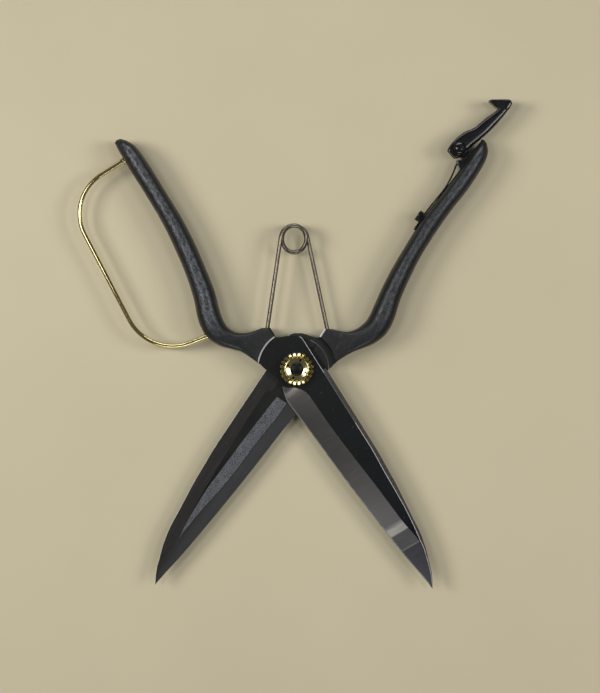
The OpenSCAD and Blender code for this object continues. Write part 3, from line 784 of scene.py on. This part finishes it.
def strip_material(k, y):
    """Material of the blade's strip k at y. Near the pivot the bevels run out into the plate."""
    if k == RIDGE_STRIP:
        if y > 13.7:
            return ON_PLATE
        # The ridge is painted in the bright edge steel, a painted highlight over wear, and in its dimmer copy
        # between RIDGE_WIDENS and y -40.
        return ON_WORN_HIGHLIGHT if y > RIDGE_WIDENS or y < -40 else ON_DIM_WORN_HIGHLIGHT
    if k in SPINE_STRIPS and y > -7 or k in EDGE_STRIPS and y > -3.6:
        return ON_PLATE
    if k == FLOOR_STRIP and y > -18.0:
        return ON_SLOPE
    return STRIPS[k]


def blade(wider):
    """The whole blade with its plate round the pivot, as one closed solid with ground facets."""
    rings = [[(x, y, z) for x, z in blade_section(y, wider)] for y in blade_places()]
    slots = [strip_material(k, y) for y in blade_places()[:-1] for k in range(len(STRIPS))]
    return lofted("blade", rings, ARM_MATERIALS, slots=slots + [ON_FORGED, ON_BEVEL])


def revolved_cutter(profile, slots, start=0, end=360, sides=180):
    """A tool for cutting: a (radius, height) outline turned from start to end degrees about the pivot."""
    whole = end - start == 360
    count = sides if whole else sides + 1
    rings = []
    for k in range(count):
        t = math.radians(start + (end - start) * k / sides)
        rings.append([(*around(r, t), z) for r, z in profile])
    slots = slots * count if whole else slots * (count - 1) + [ON_FORGED, ON_FORGED]
    return lofted("cutter", rings, ARM_MATERIALS, closed=whole, slots=slots)


def shoulder_cutters(bright_chamfer_slot):
    """The step down to the blade plate with its chamfer in the given material, painted bright on the upper
    arm as worn steel with a painted highlight, and the room for the other arm's plate.
    """
    hidden = 0.7
    top = PLATE_T - hidden
    chamfer = SHOULDER_HALF - WORN
    step = [(0.01, top), (SHOULDER_R, top), (SHOULDER_R, chamfer), (SHOULDER_R + 3, chamfer + 3),
            (SHOULDER_R + 3, 12), (0.01, 12)]
    under = [(0.01, -14), (SHOULDER_CLEAR_R + 0.5, -14), (SHOULDER_CLEAR_R + 0.5, -5.0),
             (SHOULDER_CLEAR_R, -4.4), (SHOULDER_CLEAR_R, LAP + hidden), (0.01, LAP + hidden)]
    slots = [ON_FORGED] * 6
    return [revolved_cutter(step, slots[:2] + [bright_chamfer_slot] + slots[3:]), revolved_cutter(under, slots)]


def stop_cutters(bright_stop_side):
    """Chamfers on the flat stop face, at its top and bottom. The chamfer on the chosen side is painted
    bright, as worn steel with a painted highlight.
    """
    tools = []
    for side in (1, -1):
        slot = ON_WORN_HIGHLIGHT if side == bright_stop_side else ON_FORGED
        shape = [(-1.4, 5.7), (0.25, 4.05), (0.25, 5.7)]
        rings = [[(x, y, side * z) for x, z in shape] for y in (17.0, 30.0)]
        tools.append(lofted("cutter", rings, ARM_MATERIALS, slots=[slot] * 5))
    return tools


def cut_foot_seat(piece, hole, play):
    """Slot for the spring's leg in the lug's edge, and the hole for its foot."""
    slot = WIRE_R + 0.85

    def turned(x, y, angle):
        dx, dy = turned_point((x, y), angle)
        return hole[0] + dx, hole[1] + dy

    outline = [turned(-slot, 14, 14)]
    for k in range(17):
        outline.append(turned(slot, 0, 194 + (306 - 194) * k / 16))
    outline.append(turned(slot, 14, -54))
    cut(piece, outline, LEG_Z - WIRE_R - 0.3, LEG_Z + WIRE_R + 0.3)
    cut(piece, circle_points(32, WIRE_R + play, hole), LEG_Z, FOOT_TOP + 0.15)


def lap_relief():
    """Shallow step in the sliding face, just outside the ring that bears on the other arm."""
    ring = [(16.7, -1.0), (SHOULDER_CLEAR_R - 0.02, -1.0), (SHOULDER_CLEAR_R - 0.02, LAP + 0.3),
            (17.15, LAP + 0.3), (16.7, LAP)]
    # The step's slope is painted in the dimmer edge steel: a thin painted highlight line with wear.
    slots = [ON_SLIDING, ON_SLIDING, ON_SLIDING, ON_DIM_WORN_HIGHLIGHT, ON_SLIDING]
    return revolved_cutter(ring, slots, 82, 160, 90)


def arm(name, stations, tip, shoulder, hole, play, bore, bright_stop_side):
    """One forged arm: handle, stop lug, shoulder step, pivot plate and blade in one solid.

    Its last argument is -1 where the stop's lower edge in the arm's own pose is painted bright, as worn steel
    with a painted highlight, and 0 on the other arm.
    """
    rows = list(smooth_rows(stations, GRIP_STEPS))
    rings = grip_rings(rounded_end(stations[0], tip) + rows + shoulder)
    piece = lofted(name, rings, ARM_MATERIALS)
    # The upper arm's shoulder chamfer and the lower arm's stop chamfer are painted bright: worn steel with a
    # painted highlight.
    for tool in shoulder_cutters(ON_FORGED if bright_stop_side else ON_WORN_HIGHLIGHT) + stop_cutters(bright_stop_side):
        boolean(piece, tool)
    boolean(piece, blade(1 if bright_stop_side else 0), "UNION")
    boolean(piece, lap_relief())
    cut_foot_seat(piece, hole, play)
    cut(piece, bore, -9, 9)
    return piece


def make_arms():
    upper = arm("upper_arm_forging", UPPER_GRIP, (-16.2, 153.4), UPPER_SHOULDER, FOOT_HOLE_LEFT, 0.9,
                circle_points(72, BOLT_R + 0.06), 0)
    drill_guard_holes(upper)
    lower = arm("lower_arm_forging", LOWER_GRIP, (-15.2, 155.9), LOWER_SHOULDER,
                (-FOOT_RIGHT[0], FOOT_RIGHT[1]), 0.1, square(NECK_HALF + 0.05), -1)
    drill_latch_holes(lower)
    for piece, body, place in ((upper, "upper_arm", UPPER), (lower, "lower_arm", FLIPPED)):
        piece.matrix_world = place
        settle(piece)
        shade(piece, 32, 6)
        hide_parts(body)
        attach(piece, body)


# ---------------------------------------------------------------- hand guard


def rod_place(end, bend):
    """Matrix that puts +Z along the guard's run from its end to its bend."""
    a, b = (Vector((*GUARD_POINTS[k], 0)) for k in (end, bend))
    return Matrix.Translation(a * MM) @ (b - a).to_track_quat("Z", "Y").to_matrix().to_4x4()


def collar_places():
    """For each collar: its radius, its length, how far it sits from the guard's end, and its matrix."""
    for (r, seat_x, length), end, bend in zip(COLLARS, (0, 3), (1, 2)):
        yield r, length, GUARD_POINTS[end][0] - seat_x, rod_place(end, bend)


def drill_guard_holes(piece):
    for r, _, depth, place in collar_places():
        cut(piece, circle_points(40, GUARD_R + 0.05), -0.2, 12, place)
        cut(piece, circle_points(40, r + 0.02), depth, depth + 6, place)


def guard_path():
    """Three straight runs joined by two round bends."""
    points = [Vector((*p, 0)) for p in GUARD_POINTS]
    path = []

    def run(a, b, steps):
        path.extend(a.lerp(b, k / steps) for k in range(steps))

    here = points[0]
    for corner in (1, 2):
        u = (points[corner - 1] - points[corner]).normalized()
        v = (points[corner + 1] - points[corner]).normalized()
        radius = GUARD_BENDS[corner - 1]
        half = u.angle(v) / 2
        start = points[corner] + u * radius / math.tan(half)
        middle = points[corner] + (u + v).normalized() * radius / math.sin(half)
        run(here, start, 10)
        turn = math.pi - 2 * half
        way = 1 if u.cross(v).z < 0 else -1
        for k in range(33):
            path.append(middle + Matrix.Rotation(way * turn * k / 32, 3, "Z") @ (start - middle))
        here = path.pop()
    run(here, points[3], 10)
    path.append(points[3])
    return path


def make_guard():
    guard = swept_wire("brass_guard_wire", guard_path(), GUARD_R, BRASS, UPPER, sides=28)
    finish_piece(guard, "upper_arm", "brass", "hand_guard")
    bore = GUARD_R + 0.03
    verts, faces = [], []
    for r, length, depth, place in collar_places():
        profile = [(bore, 0), (r, 0), (r, length * 0.45), (r - 0.12, length * 0.5), (r, length * 0.58),
                   (r, length - 0.3), (r - 0.1, length - 0.09), (r - 0.3, length), (bore + 0.1, length),
                   (bore, length - 0.12)]
        faces += ring_faces(40, len(profile), len(verts), closed=True)
        verts += [place @ (Vector((*around(q, 2 * math.pi * k / 40), depth + z)) * MM) / MM
                  for k in range(40) for q, z in profile]
    collars = new_piece("brass_guard_collars", verts, faces, None, [BRASS], UPPER)
    finish_piece(collars, "upper_arm", "brass", "guard_collars", angle=25)


def finish_piece(piece, body, slot, *nodes, angle=35):
    """Puts a piece in the place of its CAD nodes, to move with body. slot is not used."""
    settle(piece)
    shade(piece, angle)
    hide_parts(*nodes)
    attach(piece, body)
    return piece


# ---------------------------------------------------------------- return spring


def tangent_turn(foot, side):
    """Angle on the coil where a straight leg from foot meets it."""
    d = Vector(foot) - Vector(COIL_CENTRE)
    turn = math.degrees(math.atan2(d.y, d.x)) - side * math.degrees(math.acos(COIL_R / d.length))
    return turn + (0 if side < 0 else 720)


def spring_path():
    """From the right foot up its leg, one and a half turns round, and down the left leg."""
    right = turned_point(FOOT_RIGHT, -OPEN_LOWER)
    left = turned_point(FOOT_LEFT, OPEN_UPPER)
    first, last = tangent_turn(right, -1), tangent_turn(left, 1)
    middle = (first + last) / 2
    coil = []
    count = 132
    for k in range(count + 1):
        t = first + (last - first) * k / count
        squeeze = COIL_SQUEEZE * math.cos(math.radians(t)) ** 2 if 90 < t < 450 else 0
        r = COIL_R - squeeze
        height = LAP_Z + COIL_PITCH * (t - middle) / 360
        coil.append(Vector((*around(r, math.radians(t), COIL_CENTRE), height)))
    path = []
    for foot, level, end, end_z in ((right, LAP_Z - LEG_Z, coil[0], LAP_Z - FOOT_TOP + 0.4),
                                    (left, LAP_Z + LEG_Z, coil[-1], LAP_Z + FOOT_TOP - 0.4)):
        foot = Vector((*foot, level))
        way = (end - foot).normalized()
        down = Vector((0, 0, end_z - level)).normalized()
        bend = 1.0
        leg = [Vector((foot.x, foot.y, end_z)), foot + down * (bend + 0.35)]
        for k in range(1, 8):
            t = math.radians(90 * k / 8)
            leg.append(foot + down * bend * (1 - math.sin(t)) + way * bend * (1 - math.cos(t)))
        start = foot + way * bend
        leg += [start.lerp(end, k / 30) for k in range(30)]
        path.append(leg)
    return path[0] + coil + path[1][::-1]


def make_spring():
    wire = swept_wire("return_spring_wire", spring_path(), WIRE_R, SPRING, sides=20)
    settle(wire)
    shade(wire, 50)
    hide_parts("spring_right", "spring_left")
    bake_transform(wire)


# ---------------------------------------------------------------- pivot


def make_bolt():
    top = NUT_Z + NUT_H
    r, h = HEAD_R, LAP_Z - PLATE_T
    profile = [(0.02, 0.22), (3.2, 0.22), (3.6, 0.05), (4.0, 0.0), (r - 0.9, 0.0), (r - 0.45, 0.13),
               (r - 0.12, 0.5), (r, 0.95), (r, h - 0.25), (r - 0.2, h - 0.02), (BOLT_R, h - 0.02),
               (BOLT_R, top - 0.95), (BOLT_R - 0.08, top - 0.75), (BOLT_R - 0.3, top - 0.55),
               (BOLT_R - 0.9, top - 0.38), (BOLT_R - 2.0, top - 0.24), (0.02, top - 0.18)]
    bolt = turned_solid("pivot_bolt_turned", profile, BOLT_STEEL_AND_SLOT_SHADE)
    neck = square(NECK_HALF)
    boolean(bolt, prism("neck", neck, h - 0.3 - LAP_Z, -0.1, BOLT_STEEL_AND_SLOT_SHADE, LOWER), "UNION")
    finish_piece(bolt, "lower_arm", "black_steel", "pivot_bolt")


def make_washer():
    low, high, r = NUT_Z - WASHER_T, NUT_Z - 0.01, NUT_R - 1.6
    profile = [(BOLT_R + 0.1, low), (r - 0.12, low), (r, low + 0.12), (r, high - 0.12), (r - 0.12, high),
               (BOLT_R + 0.1, high)]
    rings = [[(*around(q, 2 * math.pi * k / 96), z) for q, z in profile] for k in range(96)]
    washer = lofted("pivot_washer_ring", rings, [WASHER_STEEL], closed=True)
    finish_piece(washer, "lower_arm", "washer_steel", "pivot_washer")


def ramped(value, start, length):
    """0 up to start, then rising to 1 over length."""
    return min(max((value - start) / length, 0), 1)


def nut_ring(turn):
    """The nut's section at an angle, pulled in and down where a groove parts two petals."""
    inner = BOLT_R + 0.03
    crown = [(inner, 2.3), (3.75, 2.44), (4.2, 2.54), (4.8, 2.67), (5.4, 2.8), (5.85, 2.9), (6.0, 2.86),
             (6.1, 2.6), (6.22, 2.58), (6.38, 3.02), (6.55, 3.18), (6.75, 3.12), (7.4, 2.81), (8.0, 2.52),
             (8.55, 2.26), (8.8, 1.85), (8.9, 1.3), (NUT_R, 0.8), (8.88, 0.25), (8.6, 0.0), (inner, 0.0)]
    phase = abs(math.sin(NUT_PETALS * turn / 2))
    ring = []
    for r, z in crown:
        groove = max(1 - phase / 0.62, 0) ** 0.8 * ramped(r, 6.2, 0.35)
        radius = r - 0.6 * groove * ramped(r, 7.6, 1.1)
        height = z - 1.45 * groove * ramped(z, 0.4, 1.6)
        ring.append((*around(radius, turn), NUT_Z + max(height, 0.0)))
    return ring


def make_nut():
    """Brass nut: a dished ring in the middle, scalloped petals round it, four spanner slots, whose faces are
    painted dark as shade.
    """
    count = NUT_PETALS * 16
    rings = [nut_ring(2 * math.pi * k / count) for k in range(count)]
    nut = lofted("brass_pivot_nut", rings, [NUT_BRASS], closed=True)
    for k in range(4):
        slot = screw_slot(68 + 90 * k, 4.2, 5.75, 0.45)
        # Painted shade: the slots' walls and floors take the dark bolt steel instead of brass.
        cut(nut, slot, NUT_Z + 1.7, NUT_Z + 6, material=BOLT_STEEL_AND_SLOT_SHADE)
    finish_piece(nut, "lower_arm", "brass", "pivot_nut", angle=38)


# ---------------------------------------------------------------- latch

# Stations of the lever's beam, from its heel to its head, and of the hook, from its point: one side,
# the other side, half thickness and squareness
LEVER_BEAM = [
    (1.75, 140.9, 7.5, 139.35, 3.35, 6), (1.55, 142.2, 9.2, 140.9, LEVER_HALF, 6),
    (1.65, 145.2, 10.15, 144.4, LEVER_HALF, 6), (2.5, 149.8, 11.3, 148.9, LEVER_HALF, 5.5),
    (4.1, 153.9, 13.1, 154.4, LEVER_HALF, 5), (6.9, 158.2, 14.5, 159.4, LEVER_HALF, 4.5),
    (8.3, 162.9, 15.4, 163.7, LEVER_HALF, 4.2), (9.6, 167.0, 16.1, 168.0, LEVER_HALF, 4),
    (11.3, 171.5, 16.6, 172.4, 3.45, 4), (12.4, 175.6, 16.8, 176.2, 3.4, 4),
    (13.2, 178.4, 16.5, 178.8, 3.2, 4)]
LEVER_HOOK = [
    (5.9, 175.35, 5.75, 174.3, 2.9, 4), (6.6, 176.0, 6.4, 174.1, 3.3, 5),
    (8.5, 177.3, 8.3, 173.9, LEVER_HALF, 6), (10.5, 178.7, 10.6, 173.6, LEVER_HALF, 7),
    (12.3, 179.9, 12.6, 173.8, LEVER_HALF, 7), (14.0, 180.9, 14.6, 174.2, LEVER_HALF, 7),
    (15.4, 181.0, 15.8, 174.9, LEVER_HALF, 6), (16.4, 180.2, 16.7, 176.2, 3.3, 5)]
BASE_X = (12.45, 14.9)
BASE_Y = (136.2, 149.3)
RIVET_Y = (138.0, 147.8)
RIVET_R = 0.9
LEAF_LINE = [(10.7, 96), (10.55, 103.4), (10.85, 110), (11.4, 116), (11.95, 122.5), (11.8, 127.5),
             (11.0, 132.6), (10.0, 137.4)]
LEAF_T = 0.8
LEAF_W = 5.0


def drill_latch_holes(piece):
    """Flat seat for the bracket and the holes for its rivets and for the leaf spring's screw."""
    piece.matrix_world = Matrix.Rotation(math.pi, 4, "Y")
    x, low, high = BASE_X[1], BASE_Y[0] - 0.15, BASE_Y[1] + 0.15
    cut(piece, [(10, low), (x, low), (x, high), (10, high)], -3.6, 3.6)
    for y in RIVET_Y:
        cut(piece, circle_points(28, RIVET_R), 13, 17.9, along_x(0, y))
    cut(piece, circle_points(28, 1.4), 8, 15.1, along_x(0, CLAMP_Y))


def bar(name, stations, first_tip, last_tip, material):
    """A solid through stations, with both ends rounded towards their tips."""
    rows = list(smooth_rows(stations, 6))
    rows = rounded_end(stations[0], first_tip) + rows + rounded_end(stations[-1], last_tip)[::-1]
    return lofted(name, grip_rings(rows), [material])


def make_lever():
    lever = bar("latch_lever_casting", LEVER_BEAM, (4.4, 139.75), (15.0, 179.4), GLOSS)
    boolean(lever, bar("hook", LEVER_HOOK, (5.55, 174.75), (16.9, 178.3), GLOSS), "UNION")
    start, end = math.radians(-142), math.radians(46)
    fork = [around(20, start + (end - start) * k / 12, LATCH_AT) for k in range(13)]
    fork += [around(4.6, end + (2 * math.pi + start - end) * k / 20, LATCH_AT) for k in range(21)]
    half = LUG_HALF + 0.15
    cut(lever, fork, -half, half)
    cut(lever, circle_points(32, 1.56, LATCH_AT), -5, 5)
    lever.matrix_world = LOWER
    finish_piece(lever, "latch_lever", "black_steel", "latch_lever", angle=40)


def make_bracket():
    """Bracket: a base let into the handle, and the lug that the lever turns on."""
    (x0, x1), (y0, y1) = BASE_X, BASE_Y
    shape = [(x0, y0), (x1, y0), (x1, y1), (x0, y1), (x0 - 0.03, 143.9), (11.6, 141.8), (10.6, 140.1),
             (9.4, 139.05), (8.75, 138.65), (10.9, 137.35)]
    base = prism("latch_bracket_plate", shape, -3.5, 3.5, GLOSS)
    lug = [around(3.4, math.radians(t), LATCH_AT) for t in range(74, 287, 6)]
    lug += [(x0 + 0.5, 140.2), (x0 + 0.5, 145.9)]
    boolean(base, prism("lug", lug, -LUG_HALF, LUG_HALF, GLOSS), "UNION")
    rounded_edges(base, 0.22)
    cut(base, circle_points(32, 1.5, LATCH_AT), -5, 5)
    base.matrix_world = LOWER
    finish_piece(base, "lower_arm", "black_steel", "latch_bracket", angle=40)


def make_rivets():
    """Two rivets through the bracket's base, with domed heads."""
    head_r, h = 1.35, 0.35
    end = 17.85 - BASE_X[0]
    profile = [(0.01, -h), (0.5, -0.96 * h), (0.95, -0.75 * h), (1.25, -0.4 * h), (head_r, 0), (RIVET_R, 0),
               (RIVET_R, end), (0.01, end)]
    verts, faces = [], []
    for y in RIVET_Y:
        place = along_x(BASE_X[0] - 0.01, y)
        faces += ring_faces(len(profile), 32, len(verts))
        verts += [place @ (Vector((*p, z)) * MM) / MM for q, z in profile for p in circle_points(32, q)]
    rivets = new_piece("bracket_rivet_pair", verts, faces, None, [RIVET_STEEL], LOWER)
    finish_piece(rivets, "lower_arm", "forged_steel", "bracket_rivets")


def make_latch_screw():
    top = LEVER_HALF + 0.06
    r = LATCH_HEAD_R
    profile = [(0.02, -top - 0.8), (1.9, -top - 0.8), (2.2, -top - 0.6), (2.3, -top - 0.3), (2.3, -top),
               (1.5, -top), (1.5, top), (r - 0.05, top), (r, top + 0.12), (r - 0.02, top + 0.42),
               (r - 0.22, top + 0.8), (r - 0.7, top + 1.15), (r - 1.5, top + 1.46), (r - 2.4, top + 1.62),
               (0.02, top + 1.68)]
    screw = turned_solid("latch_screw_domed", profile, GLOSS, sides=72)
    cut(screw, screw_slot(20, -5, 5, 0.42), top + 0.75, top + 4)
    screw.matrix_world = LOWER @ Matrix.Translation((LATCH_AT[0] * MM, LATCH_AT[1] * MM, 0))
    finish_piece(screw, "lower_arm", "black_steel", "latch_screw")


def make_leaf():
    """Flat leaf spring, screwed to the handle, with its free end just short of the lever's heel."""
    middle = smooth_rows(LEAF_LINE, 6)
    way = np.gradient(middle, axis=0)
    way /= np.linalg.norm(way, axis=1)[:, None]
    normal = np.stack([-way[:, 1], way[:, 0]], axis=1)
    half, wide, trim = LEAF_T / 2, LEAF_W / 2, 0.18
    section = [(-half, -wide + trim), (-half + trim, -wide), (half - trim, -wide), (half, -wide + trim),
               (half, wide - trim), (half - trim, wide), (-half + trim, wide), (-half, wide - trim)]
    rings = [[(p[0] + n[0] * u, p[1] + n[1] * u, v) for u, v in section] for p, n in zip(middle, normal)]
    leaf = lofted("latch_leaf_strip", rings, [LEAF_STEEL])
    cut(leaf, circle_points(28, 1.46), -5, 5, along_x(LEAF_LINE[1][0], CLAMP_Y))
    leaf.matrix_world = LOWER
    finish_piece(leaf, "lower_arm", "forged_steel", "latch_leaf_spring")


def make_clamp_screw():
    """Small knurled screw that holds the leaf spring."""
    face = LEAF_LINE[1][0] - LEAF_T / 2 - 0.02
    r, h = 2.95, 2.5
    ribs = 26

    def knurl(turn, radius):
        return 1 - 0.022 * (0.5 + 0.5 * math.cos(ribs * turn)) if radius > 2.7 else 1

    profile = [(0.02, -h), (1.6, -h), (2.4, -h), (2.72, -h + 0.06), (r, -h + 0.3), (r, -0.3), (2.72, -0.06),
               (2.4, 0), (1.4, 0), (1.4, 4.9), (0.02, 4.9)]
    screw = turned_solid("clamp_screw_knurled", profile, GLOSS, sides=ribs * 8, lobes=knurl)
    cut(screw, screw_slot(0, -4, 4, 0.28), -h - 1, -h + 0.7)
    screw.matrix_world = LOWER @ along_x(face, CLAMP_Y)
    finish_piece(screw, "lower_arm", "black_steel", "leaf_spring_screw")


# ---------------------------------------------------------------- scene


def make_floor():
    half = 1.6
    verts = [(-half, -half, 0), (half, -half, 0), (half, half, 0), (-half, half, 0)]
    mesh = bpy.data.meshes.new("floor")
    mesh.from_pydata(verts, [], [(0, 1, 2, 3)])
    floor = bpy.data.objects.new("floor", mesh)
    bpy.context.scene.collection.objects.link(floor)
    m = Nodes("pale_floor")
    m.fixed(Metallic=0.0)
    cloud = m.noise(7, detail=3)
    base = m.mix(m.ramp(cloud, 0.35, 0.65), (0.590, 0.532, 0.376), (0.615, 0.557, 0.396))
    mesh.materials.append(m.finish(base, m.level(cloud, 0.75, 0.8)))
    settle(floor)


def area_light(name, place, size, power, color, in_gloss=True, on_matt=True):
    """A soft oval light aimed at the shears. in_gloss shows it in reflections, on_matt lights matt faces."""
    data = bpy.data.lights.new(name, "AREA")
    data.shape = "ELLIPSE"
    data.size, data.size_y = size
    data.energy = power
    data.color = color
    light = bpy.data.objects.new(name, data)
    light.location = place
    light.rotation_euler = (Vector((0, 0.02, 0)) - Vector(place)).to_track_quat("-Z", "Y").to_euler()
    light.visible_glossy = in_gloss
    light.visible_diffuse = on_matt
    bpy.context.scene.collection.objects.link(light)


def make_stage():
    make_floor()
    area_light("left_softbox", (-0.44, 0.14, 0.95), (0.36, 0.36), 2.2, (1.0, 0.99, 0.97))
    area_light("right_softbox", (0.46, 0.12, 0.95), (0.32, 0.36), 1.6, (0.97, 0.98, 1.0))
    area_light("back_softbox", (-0.03, 0.80, 0.62), (0.90, 0.25), 2.9, (1.0, 1.0, 1.0), True, False)
    area_light("front_softbox", (0.0, -0.75, 0.62), (0.90, 0.24), 2.5, (1.0, 1.0, 1.0), True, False)
    area_light("left_wash", (-1.15, 0.20, 0.84), (0.56, 0.56), 10.6, (1.0, 0.98, 0.94), False)
    area_light("right_wash", (1.15, 0.16, 0.84), (0.56, 0.56), 7.2, (1.0, 0.98, 0.94), False)
    world = bpy.data.worlds.new("studio")
    world.use_nodes = True
    world.node_tree.nodes["Background"].inputs["Color"].default_value = (1.0, 0.96, 0.88, 1)
    world.node_tree.nodes["Background"].inputs["Strength"].default_value = 0.095
    bpy.context.scene.world = world
    bpy.context.scene.view_settings.view_transform = "Standard"


def make_camera():
    """Straight down on the object, from a metre away."""
    distance = 1.0
    view_height = 0.3673
    aim = Vector((0.0017, 0.0119, LAP_Z * MM))
    data = bpy.data.cameras.new("camera")
    data.sensor_width = 36
    data.lens = 36 * distance / view_height
    data.clip_end = 10
    camera = bpy.data.objects.new("camera", data)
    camera.location = aim + Vector((0, 0, distance))
    bpy.context.scene.collection.objects.link(camera)
    bpy.context.scene.camera = camera


make_camera()
make_stage()
make_arms()
make_guard()
make_spring()
make_bolt()
make_washer()
make_nut()
make_lever()
make_bracket()
make_rivets()
make_latch_screw()
make_leaf()
make_clamp_screw()
